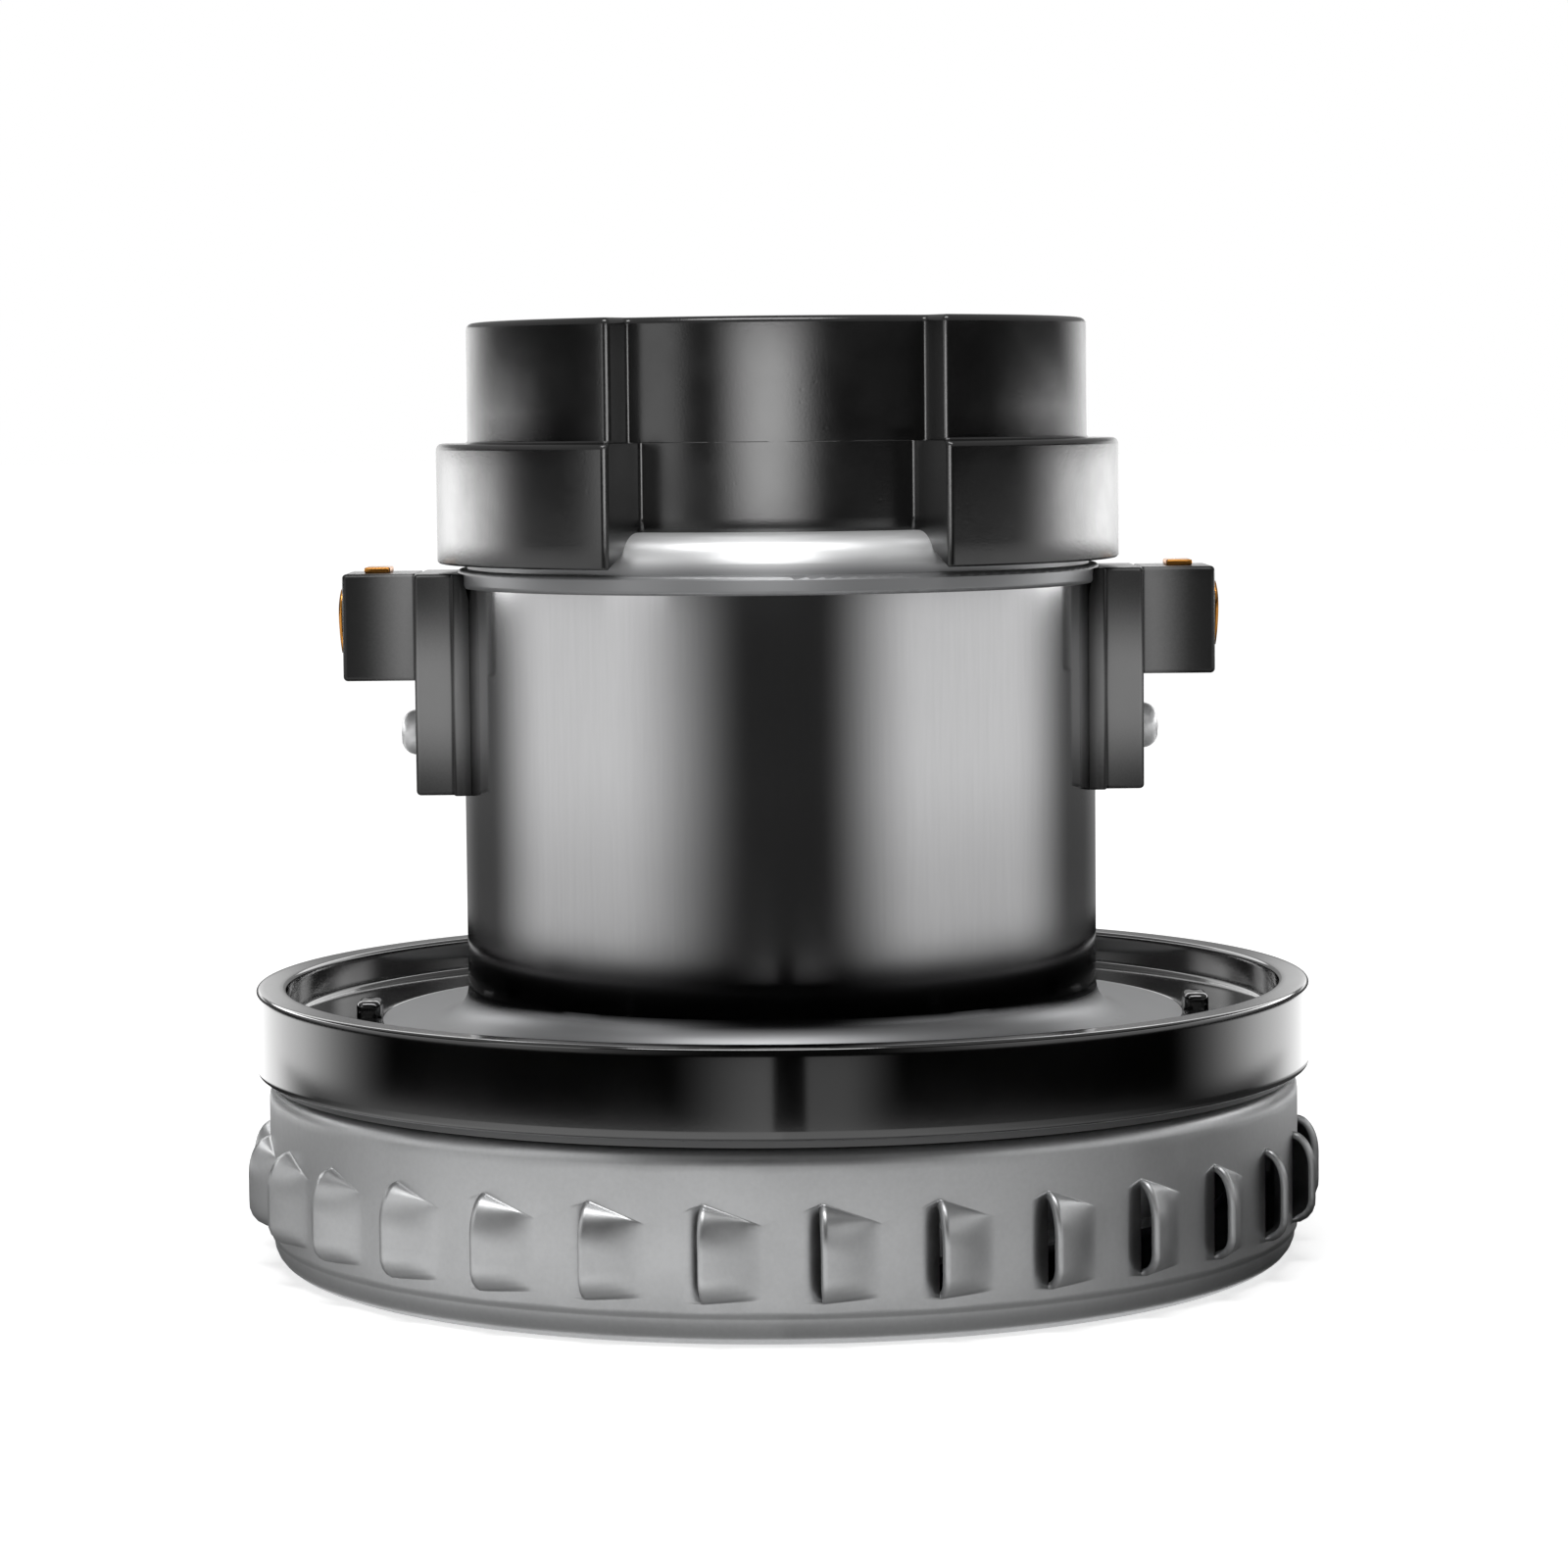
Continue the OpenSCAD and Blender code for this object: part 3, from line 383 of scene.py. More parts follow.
@dataclass(frozen=True)
class PaintedLightHolder(Finish):
    """Moulded plastic with painted light: a painted sheen, paler at the middle of the plate, and painted shade in the
    seams and towards the far end.

    The holder's parts lie one after the other along X, on both sides of the axis.

    Attributes:
        plate: distance of the plate's face from the axis.
        pad: the same for the pad.
        far: distance of the far end.
        middle: height of the plate's middle.
        half: height over which the plate's painted sheen fades.
    """

    plate: float = 0.0502
    pad: float = 0.0449
    far: float = 0.0595
    middle: float = 0.079
    half: float = 0.0155

    def pattern(self, graph: Graph) -> tuple[Socket, Socket]:
        """Painted sheen and shade by place, broken up by noise; see Finish.pattern."""
        x, _, z = graph.axes()
        reach = graph.math("ABSOLUTE", x)
        away = graph.math("ABSOLUTE", graph.math("SUBTRACT", z, self.middle))
        # painted sheen: the plate is paler at its middle height, darker above and below
        plate = graph.span(away, 0.0, self.half, 0.7, 0.38)
        # painted shade: the box darkens towards its far end
        box = graph.span(reach, self.plate, self.far, 0.56, 0.3)
        shade = graph.span(reach, self.plate - 0.0001, self.plate + 0.0001, plate, box)
        # painted shade in the seams at the plate's and the pad's faces
        for seam in (self.plate, self.pad):
            near = graph.math("ABSOLUTE", graph.math("SUBTRACT", reach, seam))
            shade = graph.math("MULTIPLY", shade, graph.span(near, 0.0001, 0.0005, 0.55, 1.0))
        marks = self.marks(graph)
        return graph.math("ADD", shade, graph.math("MULTIPLY", graph.math("SUBTRACT", marks, 0.5), 0.04)), marks


@dataclass(frozen=True)
class Laminations(Finish):
    """Stacked thin sheets, seen as fine level lines on the stack's side.

    Attributes:
        sheet: thickness of a sheet.
    """

    sheet: float = 0.0007

    def pattern(self, graph: Graph) -> tuple[Socket, Socket]:
        """Level lines one sheet apart, broken up by noise; see Finish.pattern."""
        wave = graph.math("SINE", graph.math("MULTIPLY", graph.axes()[2], 2 * math.pi / self.sheet))
        lines = graph.span(wave, -0.9, 0.4)
        return graph.weigh(lines, 0.5, graph.noise(graph.place(), self.broad, 5.0, 0.65)), lines


@dataclass(frozen=True)
class Fibres(Finish):
    """Pressed sheet with short fibres, as in insulating paper."""

    def pattern(self, graph: Graph) -> tuple[Socket, Socket]:
        """Fibres from stretched noise in two directions; see Finish.pattern."""
        along = graph.noise(graph.coordinates(Grain.DRAWN), self.fine, 3.0, 0.6)
        across = graph.noise(graph.coordinates(Grain.TURNED), self.fine, 3.0, 0.6)
        fibres = graph.math("MAXIMUM", along, across)
        return graph.weigh(fibres, 0.6, graph.noise(graph.place(), self.broad, 4.0, 0.6)), fibres


@dataclass(frozen=True)
class Speckle(Finish):
    """Pressed powder, with bright and dull flecks."""

    def pattern(self, graph: Graph) -> tuple[Socket, Socket]:
        """Flecks from cells with noise; see Finish.pattern."""
        flecks = graph.span(graph.cells(graph.place(), self.fine * 0.4), 0.2, 0.7)
        return graph.weigh(flecks, 0.4, graph.noise(graph.place(), self.fine, 4.0, 0.7)), flecks


SCREW_STEEL = Finish("zinc_plated_head", (0.82, 0.825, 0.83), 0.5, 0.4, 0.02, 0.04, Grain.EVEN, 2600.0, 1e-6, 90.0)
# the holder's painted sheen and shade spread its colour this widely
HOLDER_PLASTIC = PaintedLightHolder("black_plastic_holder", (0.13, 0.13, 0.13), 0.0, 0.32, 0.04, 0.92, Grain.EVEN, 3200.0,
                            8e-6, 60.0, specular=0.4)
NODE_FINISH = {
    # The fan plate is darkened as painted shade, for the ring's shadow over its lip.
    "fan_plate": Finish("plate_steel_satin", (0.12, 0.121, 0.122), 1.0, 0.42, 0.03, 0.05, Grain.TURNED, 1500.0, 2e-6,
                        40.0),
    # The bracket's bead, below the wall height, is darkened as painted shade.
    "upper_bracket": FootedSteel("bracket_steel_satin", (0.72, 0.725, 0.73), 0.6, 0.38, 0.02, 0.04, Grain.TURNED,
                                 1500.0, 1e-6, 40.0, foot=0.0964, wall=0.099, shaded_neck=0.0, dull=0.4, dark=0.24),
}
SLOT_FINISH = {
    "cover_steel": Finish("cover_steel_satin", (0.5, 0.505, 0.51), 1.0, 0.41, 0.03, 0.05, Grain.EVEN, 1500.0, 5e-6,
                          60.0, pits=0.3),
    # The housing's foot and a band just above it are darkened as painted shade.
    "dark_steel": FootedSteel("housing_steel_drawn", (0.5, 0.5, 0.505), 1.0, 0.12, 0.01, 0.03, Grain.DRAWN, 1700.0,
                              1e-6, 30.0),
    "bright_steel": Finish("bright_steel_pressed", (0.6, 0.605, 0.61), 1.0, 0.27, 0.05, 0.06, Grain.TURNED, 1500.0,
                           3e-6, 40.0),
    "zinc_steel": Finish("zinc_plated_steel", (0.66, 0.665, 0.67), 1.0, 0.24, 0.05, 0.08, Grain.EVEN, 2600.0, 2e-6,
                         90.0),
    "ground_steel": Finish("ground_steel", (0.62, 0.62, 0.62), 1.0, 0.2, 0.05, 0.06, Grain.TURNED, 5200.0, 2e-6,
                           70.0),
    "bearing_steel": Finish("bearing_steel", (0.6, 0.6, 0.61), 1.0, 0.12, 0.04, 0.04, Grain.TURNED, 6000.0, 1e-6,
                            90.0),
    "spring_steel": Finish("spring_steel", (0.5, 0.5, 0.5), 1.0, 0.28, 0.06, 0.1, Grain.EVEN, 3000.0, 4e-6, 200.0),
    "lamination_steel": Laminations("lamination_steel", (0.3, 0.305, 0.32), 1.0, 0.42, 0.08, 0.28, Grain.EVEN,
                                    2500.0, 6e-5, 60.0),
    "aluminium": Finish("aluminium_sheet", (0.75, 0.755, 0.765), 1.0, 0.32, 0.07, 0.07, Grain.ALONG, 2600.0, 4e-6,
                        50.0),
    "black_rubber": Finish("black_rubber_gloss", (0.0004, 0.0004, 0.0004), 0.0, 0.1, 0.02, 0.15, Grain.EVEN, 1800.0,
                           2e-6, 25.0, specular=0.62, coat=1.0),
    "black_plastic": Finish("black_plastic_moulded", (0.003, 0.003, 0.003), 0.0, 0.24, 0.03, 0.2, Grain.EVEN, 3200.0,
                            1.2e-5, 40.0, specular=0.8, pits=0.5),
    "brass": Finish("brass_strip", (0.62, 0.27, 0.055), 1.0, 0.3, 0.07, 0.12, Grain.ALONG, 2400.0, 4e-6, 120.0),
    "copper": Finish("commutator_copper", (0.78, 0.4, 0.22), 1.0, 0.24, 0.07, 0.12, Grain.TURNED, 3800.0, 4e-6,
                     110.0),
    "enamelled_copper": Finish("enamelled_copper", (0.5, 0.17, 0.055), 0.7, 0.25, 0.06, 0.22, Grain.EVEN, 2100.0,
                               1e-5, 90.0, coat=0.6),
    "insulating_paper": Fibres("insulating_paper", (0.6, 0.5, 0.33), 0.0, 0.72, 0.06, 0.16, Grain.EVEN, 1500.0, 3e-5,
                               70.0, specular=0.25),
    "phenolic": Speckle("phenolic_moulding", (0.07, 0.025, 0.012), 0.0, 0.38, 0.06, 0.35, Grain.EVEN, 3000.0, 1e-5,
                        80.0),
    "carbon": Speckle("carbon_block", (0.025, 0.025, 0.027), 0.0, 0.46, 0.09, 0.45, Grain.EVEN, 4200.0, 2e-5, 120.0),
}


def ease(value: np.ndarray, low: float, high: float) -> np.ndarray:
    """Goes from 0 at low to 1 at high as t*t*(3 - 2t), where t is the share of the way.

    Args:
        value: where it is read.
        low: start of the rise.
        high: end of the rise.

    Returns:
        Values from 0 to 1.
    """
    t = np.clip((value - low) / (high - low), 0.0, 1.0)
    return t * t * (3.0 - 2.0 * t)


def band(value: np.ndarray, low: float, high: float, soft: float) -> np.ndarray:
    """A soft band.

    Args:
        value: the value that is looked at.
        low: middle of the band's lower side.
        high: middle of its upper side.
        soft: half the width of both sides.

    Returns:
        1 inside the band, 0 outside.
    """
    return ease(value, low - soft, low + soft) * (1.0 - ease(value, high - soft, high + soft))


def mesh_of(name: str, points: np.ndarray, faces: np.ndarray) -> bpy.types.Mesh:
    """Puts whole arrays into a new mesh.

    Args:
        name: the mesh's name.
        points: vertex places, n by 3.
        faces: vertex numbers, m by 4.

    Returns:
        The mesh, shaded smooth.
    """
    mesh = bpy.data.meshes.new(name)
    mesh.vertices.add(len(points))
    mesh.vertices.foreach_set("co", np.ascontiguousarray(points, dtype=np.float32).ravel())
    mesh.loops.add(faces.size)
    mesh.loops.foreach_set("vertex_index", np.ascontiguousarray(faces, dtype=np.int32).ravel())
    mesh.polygons.add(len(faces))
    mesh.polygons.foreach_set("loop_start", np.arange(0, faces.size, faces.shape[1], dtype=np.int32))
    mesh.polygons.foreach_set("use_smooth", np.ones(len(faces), dtype=bool))
    mesh.update(calc_edges=True)
    mesh.validate()
    return mesh


def grid_faces(rows: int, columns: int, wrap_rows: bool = False, wrap_columns: bool = False) -> np.ndarray:
    """Quads between neighbouring points of a grid stored row by row.

    Args:
        rows: number of rows of points.
        columns: number of points in a row.
        wrap_rows: joins the last row to the first.
        wrap_columns: joins the last column to the first.

    Returns:
        Vertex numbers, m by 4.
    """
    row = np.arange(rows if wrap_rows else rows - 1)[:, None]
    column = np.arange(columns if wrap_columns else columns - 1)[None, :]
    below, right = (row + 1) % rows, (column + 1) % columns
    corners = (row * columns + column, row * columns + right, below * columns + right, below * columns + column)
    return np.stack(np.broadcast_arrays(*corners), axis=-1).reshape(-1, 4)


def full_turn(steps: int) -> np.ndarray:
    """Angles at equal steps round a full turn, in radians."""
    return np.linspace(0.0, 2 * math.pi, steps, endpoint=False)


def quarter_turn(steps: int) -> np.ndarray:
    """Angles at equal steps from 0 to 90 degrees, in radians."""
    return np.radians(np.linspace(0.0, 90.0, steps))


def about_axis(radius: np.ndarray, turn: np.ndarray, height: np.ndarray) -> np.ndarray:
    """Points round the Z axis as one list.

    Args:
        radius: distance of each from the axis.
        turn: its direction from +X.
        height: its height.

    Returns:
        The points, n by 3.
    """
    rows = np.broadcast_arrays(radius * np.cos(turn), radius * np.sin(turn), height)
    return np.stack(rows, axis=-1).reshape(-1, 3)


def arc(centre: tuple[float, float], radius: float, start: float, end: float, steps: int) -> np.ndarray:
    """Points on a circle's arc, at equal angles.

    Args:
        centre: the circle's centre.
        radius: its radius.
        start: first angle in degrees.
        end: last angle in degrees.
        steps: number of points.

    Returns:
        The points, n by 2.
    """
    angle = np.radians(np.linspace(start, end, steps))
    return np.stack([centre[0] + radius * np.cos(angle), centre[1] + radius * np.sin(angle)], axis=-1)


def rounded_loop(corners: np.ndarray, radii: np.ndarray, steps: int = 6) -> np.ndarray:
    """Rounds the corners of a closed outline.

    Each corner becomes an arc that touches both of its sides. The arc's points are its centre plus the radius
    times the blend, by the sine rule, of the two directions to the touching points.

    Args:
        corners: corners in order, k by 2.
        radii: a radius for each.
        steps: points for each arc.

    Returns:
        The outline, k * steps by 2.
    """
    corners, radii = np.asarray(corners, float), np.asarray(radii, float)[:, None]
    back = np.roll(corners, 1, axis=0) - corners
    ahead = np.roll(corners, -1, axis=0) - corners
    back /= np.linalg.norm(back, axis=1, keepdims=True)
    ahead /= np.linalg.norm(ahead, axis=1, keepdims=True)
    half = np.arccos(np.clip((back * ahead).sum(1, keepdims=True), -1, 1)) / 2
    middle = back + ahead
    middle /= np.linalg.norm(middle, axis=1, keepdims=True)
    centre = corners + middle * radii / np.sin(half)
    first = corners + back * radii / np.tan(half) - centre
    last = corners + ahead * radii / np.tan(half) - centre
    sweep = (math.pi - 2 * half)[:, None, :]
    share = np.linspace(0.0, 1.0, steps)[None, :, None]
    turned = (np.sin((1 - share) * sweep) * first[:, None] + np.sin(share * sweep) * last[:, None]) / np.sin(sweep)
    return (centre[:, None] + turned).reshape(-1, 2)


def densified(profile: np.ndarray, step: float) -> np.ndarray:
    """Adds points along the long sides of a closed outline, so that shading stays flat there.

    Args:
        profile: the outline, n by 2.
        step: longest side that stays as it is.

    Returns:
        The outline with equal parts on each of its sides.
    """
    ahead = np.roll(profile, -1, axis=0)
    parts = np.maximum(np.ceil(np.linalg.norm(ahead - profile, axis=1) / step).astype(int), 1)
    start = np.repeat(np.arange(len(profile)), parts)
    share = (np.arange(parts.sum()) - np.repeat(np.cumsum(parts) - parts, parts)) / np.repeat(parts, parts)
    return profile[start] + (ahead - profile)[start] * share[:, None]


def revolve(profile: np.ndarray, turns: int, closed: bool = True) -> Shell:
    """Turns a profile of (radius, height) points round the Z axis.

    A profile that runs counter-clockwise, seen with the radius to the right, has its faces outwards.

    Args:
        profile: the profile, n by 2.
        turns: number of steps round the axis.
        closed: joins the profile's end to its start.

    Returns:
        The points and the faces.
    """
    points = about_axis(profile[:, :1], full_turn(turns), profile[:, 1:])
    return points, grid_faces(len(profile), turns, closed, True)


def rounded_rectangle(low: tuple[float, float], high: tuple[float, float], corner: float,
                      along: int = 8, bend: int = 4) -> np.ndarray:
    """A rectangle with rounded corners, counter-clockwise, with points along its sides too.

    Args:
        low: its lower corner.
        high: its upper corner.
        corner: radius of its corners.
        along: points that each side adds.
        bend: points for each corner.

    Returns:
        The outline, 4 * (along + bend) by 2.
    """
    corners = np.array([[low[0], low[1]], [high[0], low[1]], [high[0], high[1]], [low[0], high[1]]])
    loop = rounded_loop(corners, np.full(4, max(corner, 1e-6)), bend).reshape(4, bend, 2)
    share = np.linspace(0.0, 1.0, along + 2)[1:-1][None, :, None]
    start, end = loop[:, -1][:, None], np.roll(loop[:, 0], -1, axis=0)[:, None]
    return np.concatenate([loop, start + (end - start) * share], axis=1).reshape(-1, 2)


def loft(rows: list[np.ndarray], wrap: bool = False) -> Shell:
    """A skin over outlines of equal length, each n by 3; without wrap its ends are closed by their middles.

    Args:
        rows: the outlines in order.
        wrap: joins the last outline to the first.

    Returns:
        The points and the faces.
    """
    if not wrap:
        first, last = (np.broadcast_to(row.mean(0), row.shape) for row in (rows[0], rows[-1]))
        rows = [first, *rows, last]
    return np.stack(rows).reshape(-1, 3), grid_faces(len(rows), len(rows[0]), wrap, True)


def block(low: tuple[float, float, float], high: tuple[float, float, float], edge: float) -> Shell:
    """A block with rounded edges: a rounded plan, drawn in by edge * (1 - cos) as it nears its top and bottom.

    Args:
        low: its lowest corner.
        high: its highest corner.
        edge: radius of its edges.

    Returns:
        The points and the faces.
    """
    rise = quarter_turn(5)
    inset = np.concatenate([edge * (1 - np.sin(rise)), edge * (1 - np.cos(rise))])
    height = np.concatenate([low[2] + edge * (1 - np.cos(rise)), high[2] - edge * (1 - np.sin(rise))])
    rows = []
    for back, up in zip(inset, height):
        plan = rounded_rectangle((low[0] + back, low[1] + back), (high[0] - back, high[1] - back), edge, 3)
        rows.append(np.column_stack([plan, np.full(len(plan), up)]))
    return loft(rows)


def tube_along(path: np.ndarray, radius: float, sides: int, side: np.ndarray) -> Shell:
    """A round bar along a path: each section lies across the path, from the cross products with a side direction.

    Args:
        path: the middle line, n by 3.
        radius: the bar's radius.
        sides: points round a section.
        side: a direction that is never along the path, 3 numbers, or n by 3.

    Returns:
        The points and the faces.
    """
    ahead = np.gradient(path, axis=0)
    ahead /= np.linalg.norm(ahead, axis=1, keepdims=True)
    first = np.cross(ahead, side)
    first /= np.linalg.norm(first, axis=1, keepdims=True)
    second = np.cross(ahead, first)
    turn = full_turn(sides)[None, :, None]
    rows = path[:, None] + radius * (np.cos(turn) * first[:, None] + np.sin(turn) * second[:, None])
    return loft(list(rows))


def joined(*shells: Shell) -> Shell:
    """Puts several skins of quads into one pair of arrays."""
    starts = np.cumsum([0] + [len(points) for points, _ in shells[:-1]])
    points = np.concatenate([points for points, _ in shells])
    faces = np.concatenate([faces + start for (_, faces), start in zip(shells, starts)])
    return points, faces


def spun(shell: Shell, share: float) -> Shell:
    """The shell after a share of a full turn round the Z axis."""
    return shell[0] @ np.array(Matrix.Rotation(share * 2 * math.pi, 3, "Z")).T, shell[1]


def turned(shell: Shell, half_turn: bool) -> Shell:
    """The shell, or the shell after half a turn round the Z axis."""
    return (shell[0] * np.array([-1.0, -1.0, 1.0]), shell[1]) if half_turn else shell


def clean(mesh: bpy.types.Mesh, reach: float = 1e-6, turn_out: bool = True) -> None:
    """Merges points closer than reach, drops flat faces, and turns faces outwards.

    Args:
        mesh: the mesh that is changed.
        reach: the merging distance.
        turn_out: False only merges.
    """
    work = bmesh.new()
    work.from_mesh(mesh)
    bmesh.ops.remove_doubles(work, verts=work.verts, dist=reach)
    if turn_out:
        bmesh.ops.dissolve_degenerate(work, edges=work.edges, dist=reach)
        bmesh.ops.recalc_face_normals(work, faces=work.faces)
    work.to_mesh(mesh)
    work.free()


def closed_mesh(name: str, *shells: Shell, reach: float = 1e-6) -> bpy.types.Mesh:
    """Puts skins into one clean mesh.

    Args:
        name: the mesh's name.
        shells: the skins.
        reach: the merging distance.

    Returns:
        The mesh.
    """
    mesh = mesh_of(name, *joined(*shells))
    clean(mesh, reach)
    return mesh


def shown(name: str, data: bpy.types.ID) -> bpy.types.Object:
    """Puts a new object of this data into the scene."""
    made = bpy.data.objects.new(name, data)
    bpy.context.scene.collection.objects.link(made)
    return made


def place(name: str, mesh: bpy.types.Mesh, slot: str, node: str, body: str = "motor_frame",
          finish: Finish | None = None, level: bool = False) -> bpy.types.Object:
    """Makes a piece of a finished mesh, dresses it, and tells the frame about it.

    Args:
        name: the piece's name.
        mesh: its mesh, in place.
        slot: the record's material slot.
        node: the CAD node it stands for.
        body: the CAD body it rides on.
        finish: its finish, unless it is the slot's.
        level: lets large faces set the shading of their edges.

    Returns:
        The piece.
    """
    piece = shown(name, mesh)
    mesh.materials.append((finish or SLOT_FINISH[slot]).build())
    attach(piece, body)
    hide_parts(node)
    if level:
        piece.modifiers.new("level_faces", "WEIGHTED_NORMAL").weight = 80
    log.info("%s: %d points, rides on %s", name, len(mesh.vertices), body)
    return piece


@dataclass
class InletCover:
    """The deep drawn cup that stands on the floor, with pressed louvres round its wall.

    Attributes:
        radius: outer radius of the wall.
        height: height of the cup.
        sheet: thickness of the sheet.
        corner: bend at the floor.
        shoulder: bend at the top.
        eye: radius of the air inlet.
        eye_height: height of the lip round it.
        eye_bend: bend of that lip.
        louvres: number of louvres.
        first: direction of the first mouth, in degrees right of the front.
        hood_out: how far a hood stands out at its mouth.
        hood_length: length over which it runs out into the wall.
        hood_low: lower end of a mouth.
        hood_high: upper end of a mouth.
        upper_bend: height over which a hood's upper end is rounded.
        lower_bend: the same for its lower end.
        fall: how much its upper end comes down for each length along its back.
        climb: how much its lower end comes up for each length.
    """

    radius: float = 0.0719
    height: float = 0.0256
    sheet: float = 0.001
    corner: float = 0.004
    shoulder: float = 0.0024
    eye: float = 0.020
    eye_height: float = 0.005
    eye_bend: float = 0.002
    louvres: int = 30
    first: float = 3.7
    hood_out: float = 0.0032
    hood_length: float = 0.0076
    hood_low: float = 0.0058
    hood_high: float = 0.0185
    upper_bend: float = 0.0052
    lower_bend: float = 0.0032
    fall: float = 0.36
    climb: float = 0.08

    @property
    def pitch(self) -> float:
        """Distance between two mouths, round the wall."""
        return 2 * math.pi * self.radius / self.louvres

    def wall_rows(self, along: np.ndarray) -> tuple[np.ndarray, np.ndarray]:
        """Rows of points up the wall that follow the ends of a hood.

        The hood's lower end climbs and its upper end falls with the distance from the mouth. Across its ends it
        rises from the wall like a quarter of an ellipse. Along its back it falls as (1 - s)^1.6 (1 + 0.9 s),
        where s goes from 0 at the mouth to 1 where it has run out.

        Args:
            along: distance of each column from the mouth.

        Returns:
            Height and stand-out of each point, row by row.
        """
        slide = np.interp(along, [0.0, self.hood_length, self.pitch], [0.0, self.hood_length, 0.0])
        low, high = self.hood_low + self.climb * slide, self.hood_high - self.fall * slide
        bottom, top = self.corner + 0.0003, self.height - self.shoulder
        turn = quarter_turn(10)
        near = 0.00012  # from a hood's end to the next plain row
        blocks = [
            [(bottom + (low - near - bottom) * share, 0.0) for share in np.linspace(0.0, 1.0, 4)],
            [(low + self.lower_bend * (1 - math.cos(a)), math.sin(a)) for a in turn[::2]],
            [(low + self.lower_bend + (high - self.upper_bend - low - self.lower_bend) * share, 1.0)
             for share in np.linspace(0.0, 1.0, 11)[1:-1]],
            [(high - self.upper_bend * (1 - math.cos(a)), math.sin(a)) for a in turn[::-1]],
            [(high + near + (top - high - near) * share, 0.0) for share in np.linspace(0.0, 1.0, 8)],
        ]
        rows = [row for group in blocks for row in group]
        height = np.stack([np.broadcast_to(row[0], along.shape) for row in rows])
        share = np.clip(along / self.hood_length, 0.0, 1.0)
        back = (1.0 - share) ** 1.6 * (1.0 + 0.9 * share)
        return height, self.hood_out * back[None, :] * np.array([row[1] for row in rows])[:, None]

    def ends(self) -> tuple[np.ndarray, np.ndarray]:
        """The sections below the wall, from the inlet's lip over the floor to the bend, and above it."""
        step = 0.0003  # the bend stays this far inside the wall
        bend, shoulder = self.radius - self.corner, self.radius - self.shoulder
        under = np.concatenate([
            np.linspace((self.eye, self.eye_height), (self.eye, self.eye_bend), 3)[:-1],
            arc((self.eye + self.eye_bend, self.eye_bend), self.eye_bend, 180, 270, 6),
            np.linspace((self.eye + self.eye_bend, 0.0), (bend, 0.0), 8)[1:-1],
            arc((bend, self.corner - step), self.corner - step, 270, 360, 7),
            [(self.radius - step, self.corner)],
        ])
        return under, arc((shoulder, self.height - self.shoulder), self.shoulder, 0, 90, 8)[1:]

    def build(self) -> None:
        """Makes the cover: floor, wall with hoods, and shoulder, given its thickness inwards.

        Every sector has two columns at its mouth, one on the wall and one on the hood. No faces join them, and
        merging closes all of that line but the mouth.
        """
        hood, rest = np.linspace(0.0, self.hood_length, 14), np.linspace(self.hood_length, self.pitch, 4)[1:-1]
        along = np.concatenate([[0.0], hood, rest])
        raised = np.arange(len(along)) > 0
        height, stand = self.wall_rows(along)
        below, above = (np.repeat(part[..., None], len(along), -1) for part in self.ends())
        height = np.concatenate([below[:, 1], height, above[:, 1]])
        radius = np.concatenate([below[:, 0], self.radius + stand * raised, above[:, 0]])
        sector = full_turn(self.louvres) + math.radians(self.first - 90.0)
        turn = (sector[:, None] + along[None, :] / self.radius).ravel()
        height, radius = np.tile(height, (1, self.louvres)), np.tile(radius, (1, self.louvres))
        faces = grid_faces(len(radius), len(turn), wrap_columns=True)
        faces = faces[(faces[:, 0] % len(turn)) % len(along) != 0]
        mesh = mesh_of("inlet_cover_sheet", about_axis(radius, turn, height), faces)
        clean(mesh, 2e-6, turn_out=False)
        cover = place("inlet_cover_louvred", mesh, "cover_steel", "inlet_cover")
        wall = cover.modifiers.new("sheet", "SOLIDIFY")
        wall.thickness, wall.offset = self.sheet, -1.0


@dataclass
class SealRing:
    """The black ring on the fan plate, L shaped in section, with a locating tab at each side.

    Attributes:
        inner: inner radius of the upright wall.
        outer: its outer radius.
        low: its lowest height.
        high: its highest height.
        floor_in: inner radius of the flat part.
        floor_low: underside of the flat part.
        floor_high: its upper side.
        tab: depth, width and height of a tab.
    """

    inner: float = 0.0693
    outer: float = 0.0735
    low: float = 0.0266
    high: float = 0.0384
    floor_in: float = 0.0563
    floor_low: float = 0.0325
    floor_high: float = 0.0334
    tab: tuple[float, float, float] = (0.0034, 0.006, 0.0023)

    def build(self) -> None:
        """Turns the rounded section round the axis, and adds the two tabs as rounded blocks."""
        corners = [(self.inner, self.low), (self.outer, self.low), (self.outer, self.high), (self.inner, self.high),
                   (self.inner, self.floor_high), (self.floor_in, self.floor_high), (self.floor_in, self.floor_low),
                   (self.inner, self.floor_low)]
        radii = np.array([0.2, 0.7, 0.5, 0.5, 0.6, 0.3, 0.15, 0.05]) * MM
        ring = revolve(densified(rounded_loop(np.array(corners), radii, 7), 0.0007), 360)
        depth, width, rise = self.tab
        tab = block((self.floor_in, -width / 2, self.floor_high - rise / 2),
                    (self.floor_in + depth, width / 2, self.floor_high + rise), 0.0008)
        mesh = closed_mesh("seal_ring_body", ring, tab, turned(tab, True))
        place("seal_ring_moulded", mesh, "black_rubber", "seal_ring")


